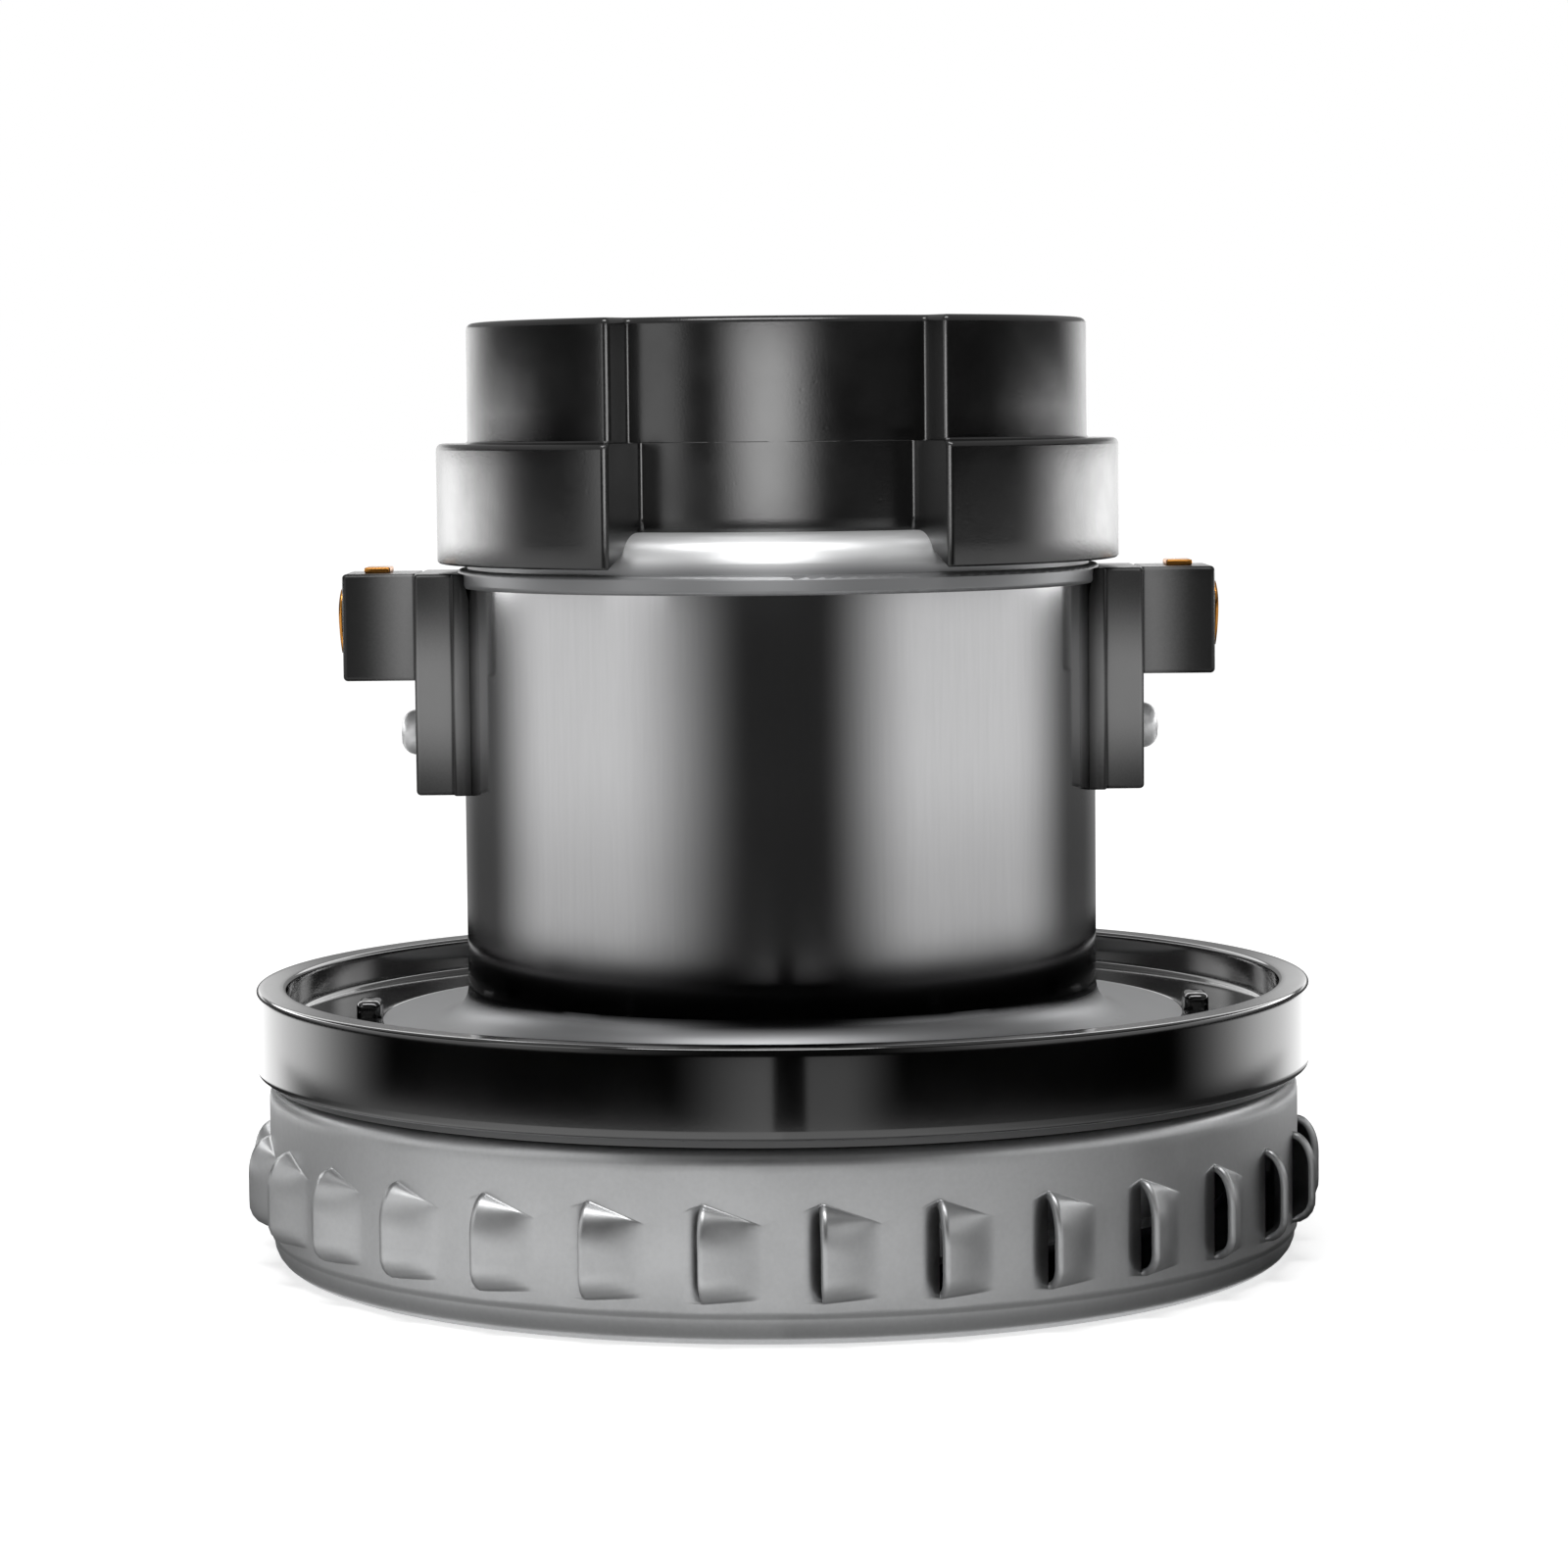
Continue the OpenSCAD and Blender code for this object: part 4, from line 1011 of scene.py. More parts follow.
@dataclass
class FanCap:
    """The moulded cap over the cooling fan: two cheeks on a drum, with a wider collar below.

    Attributes:
        drum: radius where the cap is cut back at front and back.
        cheek: radius of the cheeks.
        collar: radius of the collar.
        wall: wall thickness.
        low: lowest height.
        seat: height of the bracket it stands on, and the radius inside which it stands there.
        step: top of the collar.
        inner_step: the same inside.
        roof: underside of the roof.
        top: top of the cap.
        half_cheek: half the angle of the recess between the cheeks.
        half_collar: half the angle of the recess in the collar.
        half_wall: what the wall adds to both inside, in degrees.
        edge: rounding of outer edges.
        foot: rounding of inner corners.
        intake: radius of the air intake.
        hub: radius of the guard's hub.
        spokes: number of spokes.
        post_at: distance of the screw wells from the axis.
        post: radius of a well's wall.
        well: radius of a well.
        well_floor: height of a well's floor.
    """

    drum: float = 0.0382
    cheek: float = 0.043
    collar: float = 0.0474
    wall: float = 0.0022
    low: float = 0.097
    seat: tuple[float, float] = (0.1017, 0.0434)
    step: float = 0.1135
    inner_step: float = 0.111
    roof: float = 0.1275
    top: float = 0.130
    half_cheek: float = 31.0
    half_collar: float = 28.2
    half_wall: float = 3.3
    edge: float = 0.0009
    foot: float = 0.0005
    intake: float = 0.025
    hub: float = 0.008
    spokes: int = 8
    post_at: float = 0.0352
    post: float = 0.004
    well: float = 0.0029
    well_floor: float = 0.1067

    def outline(self, outer: float, half: float, height: float, inset: float = 0.0,
                inner: float = 0.0) -> np.ndarray:
        """The plan at one height, counter-clockwise from the front.

        A quarter of it is the drum's arc, a hollow bend, a round bend at the cheek's upright edge, and the
        cheek's arc. It is mirrored to the back, and both to the left. What is over the bracket stays above it.

        Args:
            outer: radius of the cheek or the collar.
            half: half the angle of the recess in degrees.
            height: the height.
            inset: how far the whole outline is drawn in.
            inner: radius of the drum, or 0 for the outside of the drum.

        Returns:
            The outline, n by 3.
        """
        inner = (inner or self.drum) - inset
        outer = outer - inset
        hollow, round_off = self.foot + inset, max(self.edge - inset, 0.00015)
        foot_at = math.radians(half) + inset / inner - hollow / (inner + hollow)
        edge_at = math.radians(half) + inset / outer + round_off / (outer - round_off)

        def bend(at: float, radius: float, size: float, start: float, end: float, steps: int) -> np.ndarray:
            """An arc whose centre is in the direction "at", in radians from the front."""
            out, across = arc((radius, 0.0), size, start, end, steps).T
            return np.column_stack([out * math.sin(at) + across * math.cos(at),
                                    -out * math.cos(at) + across * math.sin(at)])

        front, side = np.linspace(0.0, foot_at, 22)[:-1], np.linspace(edge_at, math.pi / 2, 44)[1:]
        quarter = np.concatenate([
            inner * np.column_stack([np.sin(front), -np.cos(front)]),
            bend(foot_at, inner + hollow, hollow, 180, 90, 5),
            bend(edge_at, outer - round_off, round_off, -90, 0, 7),
            outer * np.column_stack([np.sin(side), -np.cos(side)]),
        ])
        right = np.concatenate([quarter, (quarter * [1, -1])[::-1][1:]])
        plan = np.concatenate([right, (right * [-1, 1])[::-1][1:-1]])
        over_bracket = np.hypot(*plan.T) < self.seat[1]
        return np.column_stack([plan, np.where(over_bracket, max(height, self.seat[0]), height)])

    def rim(self, like: np.ndarray, radius: float, height: float, share: float = 1.0) -> np.ndarray:
        """Goes from an outline towards a circle, on which the points lie evenly from the front.

        Args:
            like: the outline.
            radius: radius of the circle.
            height: the new height.
            share: how far it goes, 1 for the whole way.

        Returns:
            The outline, n by 3.
        """
        turn = full_turn(len(like))
        direction = np.column_stack([np.sin(turn), -np.cos(turn)])
        plan = like[:, :2] + (direction * radius - like[:, :2]) * share
        return np.column_stack([plan, np.full(len(plan), height)])

    def shell_rows(self) -> list[np.ndarray]:
        """The outlines of the closed shell: up the outside, over the roof, and down the inside."""
        rise = quarter_turn(6)
        rounding = list(zip(self.edge * (1 - np.cos(rise)), self.edge * np.sin(rise)))
        foot, lip = self.foot, 0.0003
        thin, inner_cheek = self.drum - self.wall, self.half_cheek + self.half_wall

        def collar(height: float, inset: float = 0.0, shrink: float = 0.0) -> np.ndarray:
            """The collar's outline, drawn in all round by inset and on its arcs by shrink."""
            return self.outline(self.collar - shrink, self.half_collar, height, inset)

        def cheek(height: float, inset: float = 0.0, shrink: float = 0.0) -> np.ndarray:
            """The same for the cheeks."""
            return self.outline(self.cheek - shrink, self.half_cheek, height, inset)

        rows = [collar(self.low, lip), collar(self.low + lip)]
        rows += [collar(self.low + part * (self.step - self.low)) for part in np.linspace(0.2, 0.8, 4)]
        rows += [collar(self.step - self.edge + up, shrink=back) for back, up in rounding]
        rows += [cheek(self.step + foot * (1 - math.cos(a)), shrink=-foot * (1 - math.sin(a))) for a in rise[::2]]
        rows += [cheek(self.step + part * (self.top - self.step)) for part in (0.25, 0.5, 0.75)]
        rows += [cheek(self.top - self.edge + up, back) for back, up in rounding]
        last, bend = rows[-1], 0.0006
        rows += [self.rim(last, self.intake + bend, self.top, part) for part in (0.02, 0.3, 0.65, 1.0)]
        rows += [self.rim(last, self.intake + bend * (1 - math.sin(a)), self.top - bend * (1 - math.cos(a)))
                 for a in rise[1::2]]
        inside = self.outline(self.cheek - self.wall, inner_cheek, self.roof, inner=thin)
        rows += [self.rim(inside, self.intake, self.roof, part) for part in (1.0, 0.6, 0.2, 0.0)]
        rows.append(self.outline(self.cheek - self.wall, inner_cheek, self.inner_step, inner=thin))
        rows += [self.outline(self.collar - self.wall, self.half_collar + self.half_wall, height, inner=thin)
                 for height in (self.inner_step, self.low)]
        return rows

    def at_posts(self, shell: Shell) -> list[Shell]:
        """The shell at both screw wells."""
        return [(shell[0] + np.array([side * self.post_at, 0, 0]), shell[1]) for side in (-1, 1)]

    def drilled(self, mesh: bpy.types.Mesh) -> bpy.types.Mesh:
        """Cuts the two screw wells through the roof.

        Args:
            mesh: the shell.

        Returns:
            The shell with its holes.
        """
        radius, low, high = (self.well + self.post) / 2, self.roof - 0.001, self.top + 0.001
        bar = revolve(np.array([[ON_AXIS, low], [radius, low], [radius, high], [ON_AXIS, high]]), 48)
        cutter = shown("well_cutter", closed_mesh("well_cutter", *self.at_posts(bar), reach=3e-5))
        shell = shown("cap_work", mesh)
        cut = shell.modifiers.new("wells", "BOOLEAN")
        cut.operation, cut.solver, cut.object = "DIFFERENCE", "EXACT", cutter
        bpy.context.view_layer.update()
        made = bpy.data.meshes.new_from_object(shell.evaluated_get(bpy.context.evaluated_depsgraph_get()))
        for item in (shell, cutter):
            bpy.data.objects.remove(item)
        return made

    def guard(self) -> list[Shell]:
        """The guard's hub and spokes, and the posts with the screw wells."""
        edge, sharp, brim = 0.0005, 1e-7, self.top - 0.0002
        section = np.array([[ON_AXIS, self.roof], [self.hub, self.roof], [self.hub, brim], [ON_AXIS, brim]])
        hub = rounded_loop(section, np.array([sharp, edge, edge, sharp]))
        shells = [revolve(hub, 96)]
        spoke = block((self.hub - MM, -MM, self.roof + 0.0001), (self.intake + MM, MM, self.top - 0.0003), edge)
        shells += [spun(spoke, (number + 0.5) / self.spokes) for number in range(self.spokes)]
        foot, bore, rim = self.seat[0], 0.00155, self.top - 0.00005
        section = np.array([[bore, foot], [self.post, foot], [self.post, rim], [self.well, rim],
                            [self.well, self.well_floor], [bore, self.well_floor]])
        post = revolve(rounded_loop(section, np.array([0.1, 0.1, 0.3, 0.2, 0.2, 0.1]) * MM), 48)
        return shells + self.at_posts(post)

    def build(self) -> None:
        """Makes the shell, and the guard as a piece of its own."""
        shell = self.drilled(closed_mesh("fan_cap_body", loft(self.shell_rows(), wrap=True)))
        place("fan_cap_shell", shell, "black_plastic", "fan_cap", level=True)
        place("fan_cap_guard", closed_mesh("fan_cap_guard", *self.guard()), "black_plastic", "fan_cap", level=True)


@dataclass
class BrushGear:
    """Brush holder, terminal and brush spring of one side.

    Attributes:
        left: makes the left side, which is the right side after half a turn.
        can: radius of the housing it sits on.
        bead: radius of the bracket's bead, and the height from which it counts.
        pad: outer radius and half width of the pad.
        plate: outer radius and half width of the mounting plate.
        box: outer radius and half width of the box.
        low: lowest height.
        box_low: lowest height of the box.
        high: highest height.
        tube: half width and half height of the brush tube's hole.
        middle: height of the tube's middle.
        edge: rounding of the edges.
    """

    left: bool = False
    can: float = 0.04405
    bead: tuple[float, float] = (0.0447, 0.0935)
    pad: tuple[float, float] = (0.0449, 0.0115)
    plate: tuple[float, float] = (0.0502, 0.010)
    box: tuple[float, float] = (0.0603, 0.007)
    low: float = 0.06515
    box_low: float = 0.08085
    high: float = 0.09565
    tube: tuple[float, float] = (0.0041, 0.00495)
    middle: float = 0.08825
    edge: float = 0.0006

    @property
    def side(self) -> str:
        """Name of the side."""
        return "left" if self.left else "right"

    def piece(self, part: str, look: str, shell: Shell, slot: str, **settings: object) -> bpy.types.Object:
        """Makes one of this side's pieces.

        Args:
            part: name of the CAD node it stands for, without the side.
            look: last word of the piece's name.
            shell: its skin on the right side.
            slot: the record's material slot.
            settings: see place.

        Returns:
            The piece.
        """
        mesh = closed_mesh(f"{part}_{self.side}_body", turned(shell, self.left))
        return place(f"{part}_{self.side}_{look}", mesh, slot, f"{part}_{self.side}", **settings)

    def section(self, reach: float, half: float, low: float, high: float, corner: float,
                inset: float = 0.0) -> np.ndarray:
        """An outline across the holder, held off the housing's round wall.

        Args:
            reach: distance from the axis.
            half: half its width.
            low: its lower side.
            high: its upper side.
            corner: radius of its corners.
            inset: how far it is drawn in.

        Returns:
            The outline, n by 3.
        """
        corner = max(corner - inset, 1e-5)
        loop = rounded_rectangle((-half + inset, low + inset), (half - inset, high - inset), corner)
        wall = np.where(loop[:, 1] > self.bead[1], self.bead[0], self.can)
        out = np.maximum(reach, np.sqrt(wall**2 - loop[:, 0] ** 2))
        return np.column_stack([out, loop])

    def rounded_end(self, reach: float, half: float, low: float, high: float, edge: float) -> list[np.ndarray]:
        """Outlines that round the edge at the outer end of a part of the holder; see section."""
        rise = quarter_turn(5)
        return [self.section(reach - edge * (1 - math.sin(a)), half, low, high, edge * 1.05, edge * (1 - math.cos(a)))
                for a in rise]

    def holder(self) -> None:
        """Makes the holder as one closed skin: pad, plate, box, and back through the brush tube's hole."""
        pad_edge, hole_corner = 0.0003, 0.0002
        rows = [self.section(0.0, self.pad[1], self.low, self.high, pad_edge)]
        rows += self.rounded_end(*self.pad, self.low, self.high, pad_edge)
        rows.append(self.section(self.pad[0], self.plate[1], self.low, self.high, self.edge))
        rows += self.rounded_end(*self.plate, self.low, self.high, self.edge)
        rows.append(self.section(self.plate[0], self.box[1], self.box_low, self.high, self.edge))
        rows += self.rounded_end(*self.box, self.box_low, self.high, self.edge)
        hole = (self.tube[0], self.middle - self.tube[1], self.middle + self.tube[1], hole_corner)
        rows += [self.section(reach, *hole) for reach in (self.box[0], self.plate[0], 0.0)]
        skin = loft(rows, wrap=True)
        self.piece("brush_holder", "moulded", skin, "black_plastic", finish=HOLDER_PLASTIC, level=True)

    def terminal(self) -> None:
        """Makes the terminal: a bowed end strip, the stem through the holder, and the blade on its top.

        The strip's face stands out by 1 minus the square of the distance from its middle.
        """
        raised, half_high, half_wide, sheet, sunk = 0.0008, 0.0044, 0.00485, 0.0003, 0.00005
        up, across = np.meshgrid(np.linspace(-1.0, 1.0, 25), np.linspace(-1.0, 1.0, 15), indexing="ij")
        reach, height = self.box[0], self.middle + raised + half_high * up
        side = across * half_wide * np.sqrt(np.clip(1.0 - 0.55 * np.abs(up) ** 3, 0.0, 1.0))
        bow = 0.0001 + 0.0004 * (1.0 - up**2) * (0.6 + 0.4 * up) + 0.00005 * (1.0 - across**2)
        front = np.stack([reach + bow + sheet, side, height], axis=-1)
        back = np.stack([np.full_like(up, reach - sunk), side, height], axis=-1)
        strip = loft([np.concatenate([a, b[::-1]]) for a, b in zip(front, back)])
        stem_half, foot, stem_top = 0.002, self.middle + 0.0049, self.high + 0.0003
        stem = block((reach - 0.0057, -stem_half, foot), (reach - 0.0045, stem_half, stem_top), 0.0001)
        blade_half, blade_top = 0.00315, self.high + 0.0008
        blade = block((reach - 0.0064, -blade_half, self.high), (reach - 0.0028, blade_half, blade_top), 0.00025)
        self.piece("brush_terminal", "bowed", joined(strip, stem, blade), "brass")

    def screw(self) -> None:
        """Makes the screw of the mounting plate: a shank, and a pan head with a six-lobed socket.

        The head stands out by h * (1 - q^2.6)^(1/2.6), where q is the share of its radius. The socket's radius
        is its middle value times 1 + 0.12 cos(6 a), where a is the angle round the screw.
        """
        start, shank, seat, radius, rise, height = 0.0405, 0.0015, self.plate[0], 0.0032, 0.00275, 0.0733
        angle = full_turn(72)
        share = np.sin(np.radians(np.linspace(90.0, 33.0, 16)))
        dome = seat + rise * (1.0 - share**2.6) ** (1 / 2.6)
        socket = dome[-1] + np.array([0.00005, -0.0001, -0.0010, -0.0011, -0.0013])
        reach = np.concatenate([[start, seat, seat], dome, socket])
        size = np.concatenate([[shank, shank, radius * 0.98], radius * share])[:, None] * np.ones_like(angle)
        lobes = np.array([0.00153, 0.00147, 0.00144, 0.0013, 0.0001])[:, None] * (1.0 + 0.12 * np.cos(6 * angle))
        size = np.concatenate([size, lobes])
        rows = np.broadcast_arrays(reach[:, None], size * np.cos(angle), height + size * np.sin(angle))
        self.piece("holder_screw", "pan", loft(list(np.stack(rows, axis=-1))), "zinc_steel", finish=SCREW_STEEL)

    def spring(self) -> None:
        """Makes the brush spring: a helix with close turns at both ends."""
        start, end, wire, radius, turns, shortest = 0.03625, 0.0602, 0.00035, 0.00225, 9.0, 0.792
        share = np.linspace(0.0, 1.0, 320)
        angle = share * (turns + 2.0) * 2 * math.pi
        open_share = np.clip((share * (turns + 2.0) - 1.0) / turns, 0.0, 1.0)
        travel = start + wire + share * wire * 2 + open_share * (end - start - wire * 4)
        path = np.stack([travel, radius * np.cos(angle), self.middle + radius * np.sin(angle)], axis=-1)
        coil = tube_along(path, wire, 8, np.array([1.0, 0.0, 0.0]))
        spring = self.piece("brush_spring", "coiled", coil, "spring_steel")
        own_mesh(spring)

    def build(self) -> None:
        """Makes the four pieces of this side."""
        self.holder()
        self.terminal()
        self.screw()
        self.spring()


@dataclass
class Windings:
    """The wound coils: two saddle coils on the stator's poles, and the armature's winding.

    Attributes:
        stack_low: lower end of the stack of sheets.
        stack_high: its upper end.
        overhang: how far the coils stand out of the stack.
        coil_in: inner radius of the field coils.
        coil_out: outer radius of the field coils.
        coil_half: half angle of a field coil in degrees.
        coil_bend: radius of its outer corners.
        window: half width of the pole that goes through it.
        window_gap: how far the window reaches past the stack.
        window_bend: radius of the window's corners.
        strands: wires round a field coil's section.
        shaft_gap: inner radius of the armature's end turns.
        armature: outer radius of the armature's end turns.
        slot_at: radius of the slots' middles.
        slot: radius of a slot's winding.
        slots: number of slots.
    """

    stack_low: float = 0.044
    stack_high: float = 0.072
    overhang: float = 0.008
    coil_in: float = 0.0286
    coil_out: float = 0.0359
    coil_half: float = 52.5
    coil_bend: float = 0.007
    window: float = 0.0138
    window_gap: float = 0.0008
    window_bend: float = 0.002
    strands: int = 46
    shaft_gap: float = 0.0076
    armature: float = 0.0218
    slot_at: float = 0.019496
    slot: float = 0.0025
    slots: int = 12

    def field_coil(self, name: str, middle: float) -> None:
        """Makes a field coil.

        Its section is a rounded square between an inner and an outer rounded rectangle, laid on a cylinder.
        Wires show as a ripple round the section, one wave for each wire.

        Args:
            name: the CAD node it stands for.
            middle: direction of its middle in degrees.
        """
        centre_r, centre_z = (self.coil_in + self.coil_out) / 2, (self.stack_low + self.stack_high) / 2
        high = (self.stack_high - self.stack_low) / 2
        wide = math.radians(self.coil_half) * centre_r
        top, window_top, points = high + self.overhang, high + self.window_gap, (14, 10)
        outer = rounded_rectangle((-wide, -top), (wide, top), self.coil_bend, *points)
        inner = rounded_rectangle((-self.window, -window_top), (self.window, window_top), self.window_bend, *points)
        turn = full_turn(self.strands * 5)
        square = np.maximum(np.abs(np.cos(turn)), np.abs(np.sin(turn))) ** 0.82
        ripple = 1.0 - 0.028 * (0.5 + 0.5 * np.cos(self.strands * turn))
        across, deep = np.cos(turn) / square * ripple, np.sin(turn) / square * ripple
        across, deep = across / np.abs(across).max(), deep / np.abs(deep).max()
        share = 0.5 + 0.5 * across[None, :, None]
        spread = inner[:, None] + (outer - inner)[:, None] * share
        radius = centre_r + deep[None, :] * (self.coil_out - self.coil_in) / 2
        angle = spread[..., 0] / centre_r + math.radians(middle)
        coil = about_axis(radius, angle, centre_z + spread[..., 1]), grid_faces(len(outer), len(turn), True, True)
        place(name + "_wound", closed_mesh(name + "_wires", coil), "enamelled_copper", name)

    def armature_winding(self) -> None:
        """Makes the armature's winding: end turns as rounded rings with slanting wires, and bars in the slots.

        The wires are a ripple whose waves run round the ring and across its section at once.
        """
        turns, section, wires = 432, 40, 72
        psi, angle = np.meshgrid(full_turn(section), full_turn(turns), indexing="ij")
        square = np.maximum(np.abs(np.cos(psi)), np.abs(np.sin(psi))) ** 0.6
        wave = 0.5 + 0.5 * np.cos(wires * angle + 5 * psi)
        lobes = 0.5 + 0.5 * np.cos(self.slots * angle)
        size = (1.0 - 0.035 * wave - 0.06 * lobes) / square * math.sqrt(0.5) ** 0.4 * 1.12
        middle, wide = (self.armature + self.shaft_gap) / 2, (self.armature - self.shaft_gap) / 2
        high = (self.overhang - 0.001) / 2
        radius = middle + np.clip(wide * np.cos(psi) * size, -wide, wide)
        away = np.clip(high * np.sin(psi) * size, -high, high)
        shells = [(about_axis(radius, angle, centre + away), grid_faces(section, turns, True, True))
                  for centre in (self.stack_low - high, self.stack_high + high)]
        circle = arc((self.slot_at, 0.0), self.slot, 0, 330, 12)
        heights = np.linspace(self.stack_low - 0.001, self.stack_high + 0.001, 5)
        bar = loft([np.column_stack([circle, np.full(len(circle), up)]) for up in heights])
        shells += [spun(bar, number / self.slots) for number in range(self.slots)]
        place("armature_winding_wound", closed_mesh("armature_winding_wires", *shells), "enamelled_copper",
              "armature_winding", "rotor")

    def build(self) -> None:
        """Makes all windings."""
        self.field_coil("field_coil_front", -90.0)
        self.field_coil("field_coil_back", 90.0)
        self.armature_winding()


@dataclass
class Studio:
    """Camera, floor, lamp, world, and the boards that shiny surfaces mirror.

    Attributes:
        eye: the camera's place.
        tilt: how far it looks down, in radians.
        roll: its roll, in radians.
        lens: focal length in millimetres, for a sensor 36 mm wide.
        shift: sideways shift of the frame, as a share of its width.
        level: strength of the world's light on what isn't shiny.
        unlit: what the world's light loses in mirror images.
        glow: strength of the floor's own light where it is seen.
        board_reach: distance of the standing board from the axis.
        board_low: inner radius of the board that lies on the floor.
        board_top: height of the standing board.
        card_reach: distance of the small card from the axis.
        card_span: its two sides, in degrees from the front.
        card_rise: its lower and upper edge.
        lamp_place: the lamp's place.
        lamp_aim: the point it shines at.
        lamp_size: its width and height.
        lamp_power: its power in watts.
    """

    eye: tuple[float, float, float] = (0.0, -0.635, 0.1169)
    tilt: float = 0.0808
    roll: float = -0.010
    lens: float = 104.42
    shift: float = 0.0023
    level: float = 0.62
    unlit: float = 0.62
    glow: float = 0.5
    board_reach: float = 0.2
    board_low: float = 0.0705
    board_top: float = 0.15
    card_reach: float = 0.08
    card_span: tuple[float, float] = (-22.0, 16.0)
    card_rise: tuple[float, float] = (0.0998, 0.1325)
    lamp_place: tuple[float, float, float] = (-0.06, -0.3, 0.72)
    lamp_aim: tuple[float, float, float] = (0.0, 0.0, 0.05)
    lamp_size: tuple[float, float] = (0.5, 0.22)
    lamp_power: float = 2.6

    def camera(self) -> None:
        """Makes the camera at the photograph's viewing angle."""
        data = bpy.data.cameras.new("view")
        data.lens, data.sensor_width, data.shift_x = self.lens, 36.0, self.shift
        data.clip_start, data.clip_end = 0.05, 20.0
        view = shown("view", data)
        look = Matrix.Rotation(math.pi / 2 - self.tilt, 4, "X") @ Matrix.Rotation(self.roll, 4, "Z")
        view.matrix_world = Matrix.Translation(self.eye) @ look
        bpy.context.scene.camera = view

    def sight(self, graph: Graph) -> Socket:
        """1 for rays from the camera, or by way of a mirror or glass, else 0."""
        path = graph.node("LightPath")
        seen = graph.math("MAXIMUM", path.outputs["Is Camera Ray"], path.outputs["Is Glossy Ray"])
        return graph.math("MAXIMUM", seen, path.outputs["Is Transmission Ray"])

    def world(self) -> None:
        """White where it is seen, and a plain even light on the rest."""
        world = bpy.data.worlds.new("studio")
        bpy.context.scene.world = world
        world.use_nodes = True
        graph = Graph(world.node_tree)
        shader = graph.node("Background")
        shader.inputs["Color"].default_value = (1.0, 1.0, 1.0, 1.0)
        mirrored = graph.node("LightPath").outputs["Is Glossy Ray"]
        seen = graph.span(self.sight(graph), 0.0, 1.0, self.level, 1.0)
        lost = graph.math("MULTIPLY", mirrored, self.unlit)
        graph.put(shader.inputs["Strength"], graph.math("SUBTRACT", seen, lost))
        graph.show(shader.outputs[0], "OutputWorld")

    def floor(self) -> None:
        """A pale floor, a round sheet whose points lie on rings ever further apart."""
        turns, rings = 64, 12
        reach = np.concatenate([[0.001], np.geomspace(0.05, 12.0, rings)])[::-1]
        points = about_axis(reach[:, None], full_turn(turns), 0.0)
        floor = shown("floor", mesh_of("floor", points, grid_faces(rings + 1, turns, wrap_columns=True)))
        material, graph = new_material("pale_floor")
        base = graph.node("BsdfDiffuse")
        tone = graph.noise(graph.place(), 60.0, 3.0)
        graph.put(base.inputs["Color"], graph.blend(tone, (0.84, 0.84, 0.84, 1.0), (0.88, 0.88, 0.88, 1.0)))
        glow = graph.node("Emission")
        graph.put(glow.inputs["Strength"], graph.math("MULTIPLY", self.sight(graph), self.glow))
        both = graph.node("AddShader")
        graph.put(both.inputs[0], base.outputs[0])
        graph.put(both.inputs[1], glow.outputs[0])
        graph.show(both.outputs[0])
        floor.data.materials.append(material)

    def lamp(self) -> None:
        """A soft rectangular lamp above the front, aimed at the middle of the unit."""
        data = bpy.data.lights.new("top_front_lamp", "AREA")
        data.shape, data.size, data.size_y, data.energy = "RECTANGLE", *self.lamp_size, self.lamp_power
        place, aim = Vector(self.lamp_place), Vector(self.lamp_aim)
        turn = (place - aim).to_track_quat("Z", "Y").to_matrix().to_4x4()
        shown("top_front_lamp", data).matrix_world = Matrix.Translation(place) @ turn

    def board_light(self, turn: np.ndarray, radius: np.ndarray, height: np.ndarray) -> np.ndarray:
        """How bright the boards are, by direction and height, as products of soft bands.

        Args:
            turn: direction from the front in degrees, positive to the right.
            radius: distance from the axis.
            height: height above the floor.

        Returns:
            The brightness, where 1 is white.
        """
        side, left = np.abs(turn), turn < 0.0
        back = ease(side, 98.0, 124.0)
        # on the floor: what the cover mirrors, bright before it and dark to its sides
        near = np.where(left, 1.22 - 1.19 * ease(side, 40.0, 112.0), 1.07 - 1.02 * ease(turn, -12.0, 84.0))
        near = near * (0.25 + 0.75 * ease(radius, 0.071, 0.1)) * (1.0 + 0.3 * ease(turn, -10.0, 30.0))
        # lowest on the standing board: what the ring mirrors, both sides and two patches beside a dark bar
        ring = 1.5 * ease(side, 74.0, 108.0) + 0.78 * ease(turn, -20.0, -1.5) * (turn < -1.6)
        ring = ring + 0.57 * (1.0 - ease(turn, 9.0, 21.0)) * (turn > 4.0)
        # above that: two pale bands on the housing, with a dark front between them
        rise = np.where(left, ease(side, 9.0, 56.0), ease(side, 12.0, 48.0))
        can = 0.03 + rise * (1.0 - 0.92 * ease(side, 82.0, 118.0)) + 0.15 * ease(side, 130.0, 155.0)
        can = can * (0.76 + 0.24 * ease(height, 0.036, 0.062)) * ease(height, 0.0245, 0.0288)
        can = can + 1.1 * band(side, 134.0, 152.0, 5.0) * band(height, 0.056, 0.071, 0.004)
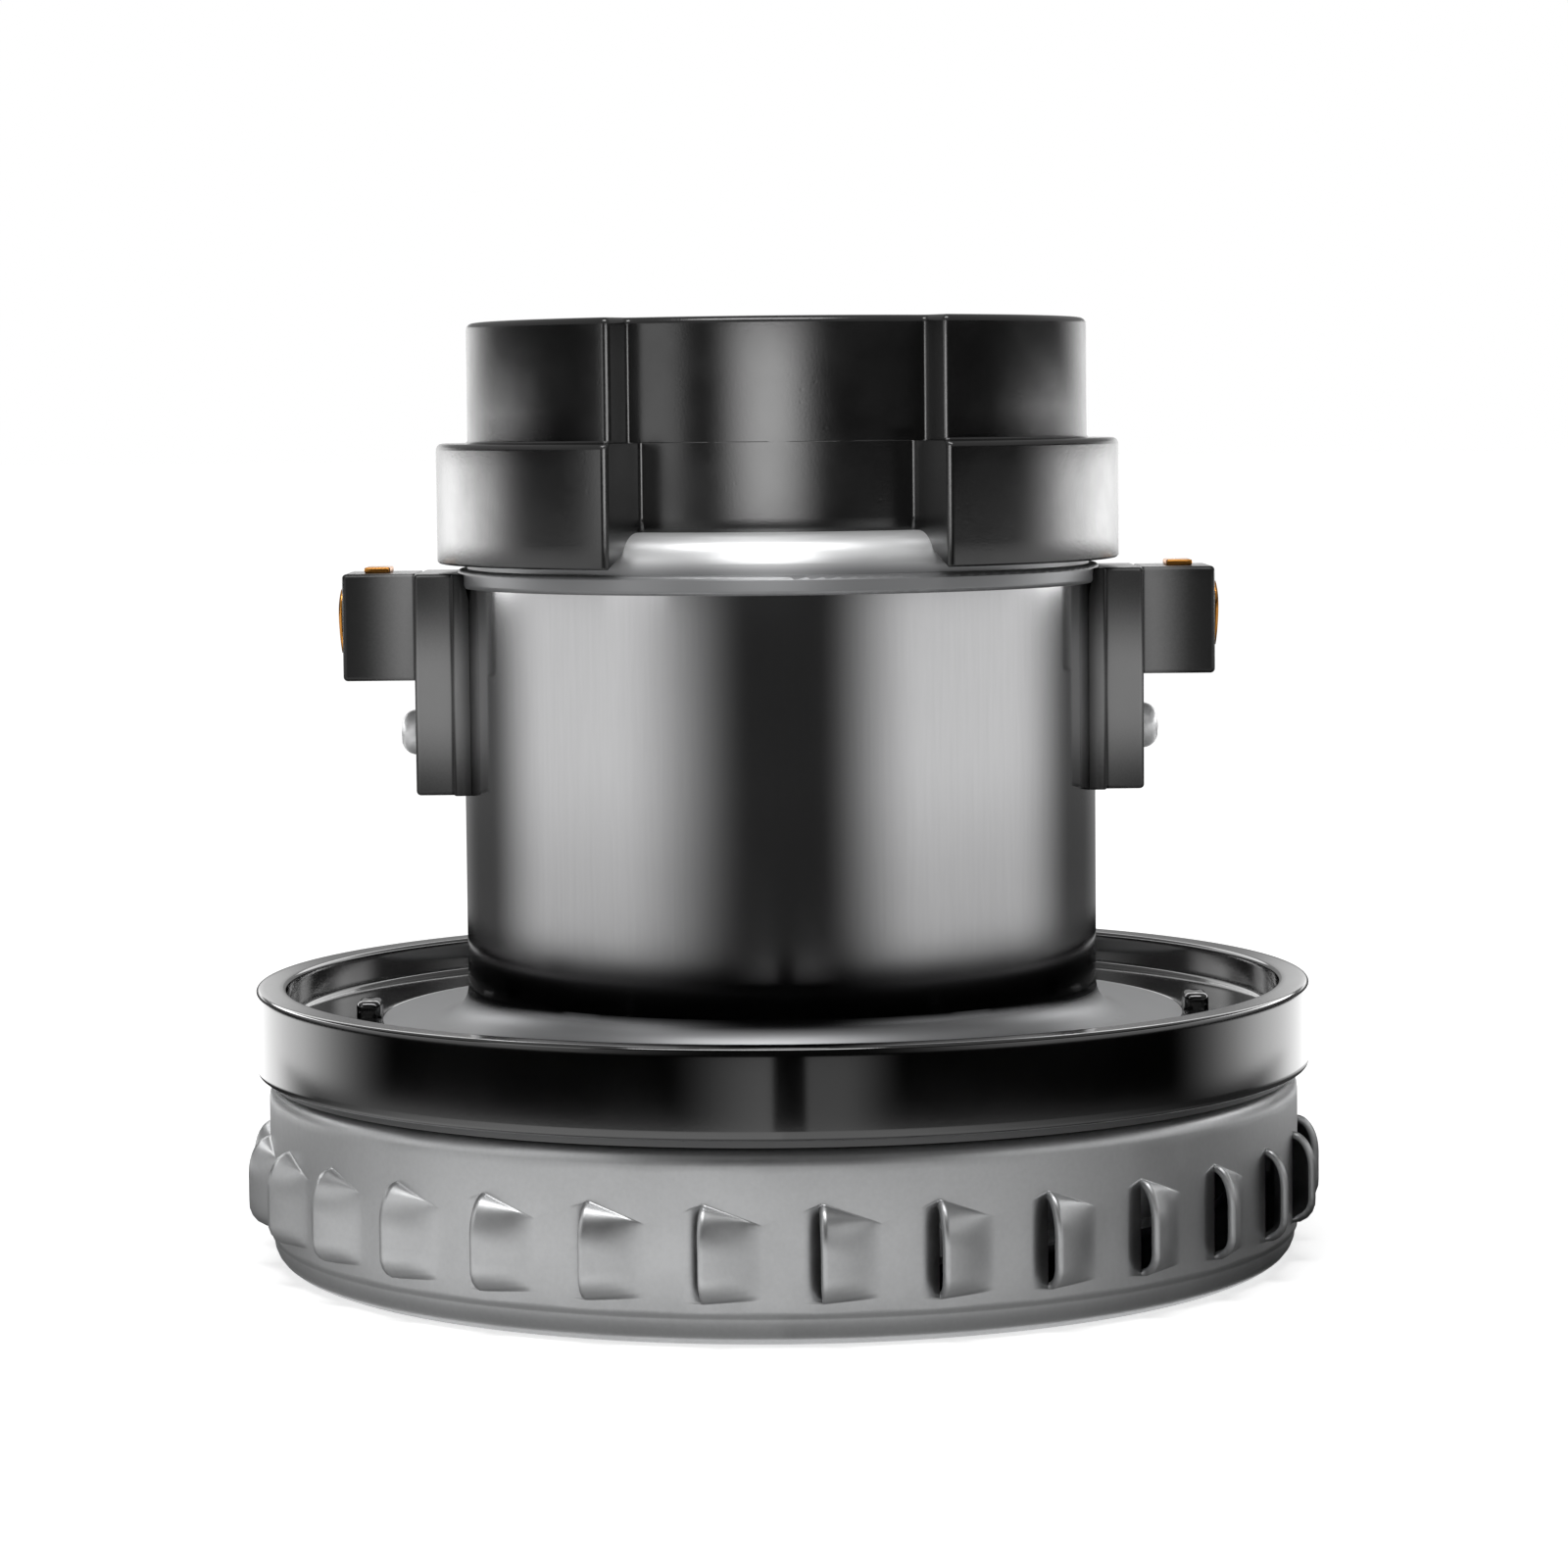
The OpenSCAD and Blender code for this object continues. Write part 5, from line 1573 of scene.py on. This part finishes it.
        # highest: the ends of the collar and of the cheeks, and one flat strip on the drum
        facet = 1.5 * band(turn, -57.5, -35.5, 0.8)
        collar = 5.5 * np.where(left, ease(side, 80.0, 111.0), ease(side, 76.0, 107.0))
        collar = collar * (1.0 - 0.7 * ease(side, 116.0, 150.0)) + facet
        cheek = 1.6 * ease(side, 112.0, 142.0) + facet
        level = near + (ring - near) * np.maximum(ease(height, 0.005, 0.009), back)
        level = level + (can - level) * ease(height, 0.0200, 0.0212)
        beside = 0.0025 * ease(side, 84.0, 104.0)
        level = level + (collar - level) * ease(height, 0.0895 - beside, 0.0925 - beside)
        level = level + (cheek - level) * ease(height, 0.110, 0.115)
        near = near + (ring - near) * ease(radius, 0.182, 0.192) * back * np.where(left, 1.0, 0.4)
        return np.where(height < 0.001, near, level)

    def boards(self) -> None:
        """The boards: a ring on the floor and a cylinder round the unit, seen only in mirror images.

        The grid runs round the axis; its profile goes out along the floor and then up.
        """
        turns, out, up = 720, 60, 120
        turn = full_turn(turns)[None, :] - math.pi
        radius = np.concatenate([np.linspace(self.board_low, self.board_reach, out), np.full(up, self.board_reach)])
        height = np.concatenate([np.full(out, 0.0006), np.linspace(0.0012, self.board_top, up)])
        radius, height = radius[:, None], height[:, None]
        points = about_axis(radius, turn - math.pi / 2, height)
        mesh = mesh_of("boards", points, grid_faces(out + up, turns, wrap_columns=True))
        self.show_in_mirrors("boards", mesh, self.board_light(np.degrees(turn), radius, height))

    def card(self) -> None:
        """A small upright card before the cap: part of a cylinder, bright in its middle."""
        up, out = 12, 90
        height, turn = np.linspace(*self.card_rise, up)[:, None], np.linspace(*self.card_span, out)[None, :]
        points = about_axis(self.card_reach, np.radians(turn - 90.0), height)
        light = 5.2 * ease(turn, -21.0, -4.0) * (1.0 - ease(turn, -1.0, 15.0)) * np.ones_like(height)
        self.show_in_mirrors("card", mesh_of("card", points, grid_faces(up, out)), light)

    def show_in_mirrors(self, name: str, mesh: bpy.types.Mesh, light: np.ndarray) -> None:
        """Makes a stage object that only shiny surfaces see.

        Args:
            name: its name.
            mesh: its mesh.
            light: its brightness at each point.
        """
        mesh.attributes.new("brightness", "FLOAT", "POINT").data.foreach_set(
            "value", light.astype(np.float32).ravel())
        seen = shown(name, mesh)
        seen.visible_camera = seen.visible_diffuse = seen.visible_shadow = False
        seen.visible_transmission = seen.visible_volume_scatter = False
        material, graph = new_material("lit_" + name)
        glow = graph.node("Emission")
        graph.put(glow.inputs["Strength"], graph.node("Attribute", attribute_name="brightness").outputs["Fac"])
        graph.show(glow.outputs[0])
        mesh.materials.append(material)

    def build(self) -> None:
        """Sets up the whole studio."""
        bpy.context.scene.view_settings.view_transform = "Standard"
        self.camera()
        self.world()
        self.floor()
        self.boards()
        self.card()
        self.lamp()
        log.info("studio is set")


def dress_frame() -> None:
    """Gives every CAD node the finish of its material slot."""
    for name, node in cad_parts.items():
        own = node.data.materials[0].name if node.data.materials else ""
        finish = NODE_FINISH.get(name, SLOT_FINISH[own.split(".")[0]])
        node.data.materials.clear()
        node.data.materials.append(finish.build())
        log.info("%s has %s", name, finish.name)


def main() -> None:
    """Builds every sub-assembly in order."""
    logging.basicConfig(level=logging.INFO)
    dress_frame()
    for part in (InletCover(), SealRing(), FanCap(), BrushGear(left=True), BrushGear(), Windings()):
        part.build()
    Studio().build()


if __name__ == "__main__":
    main()
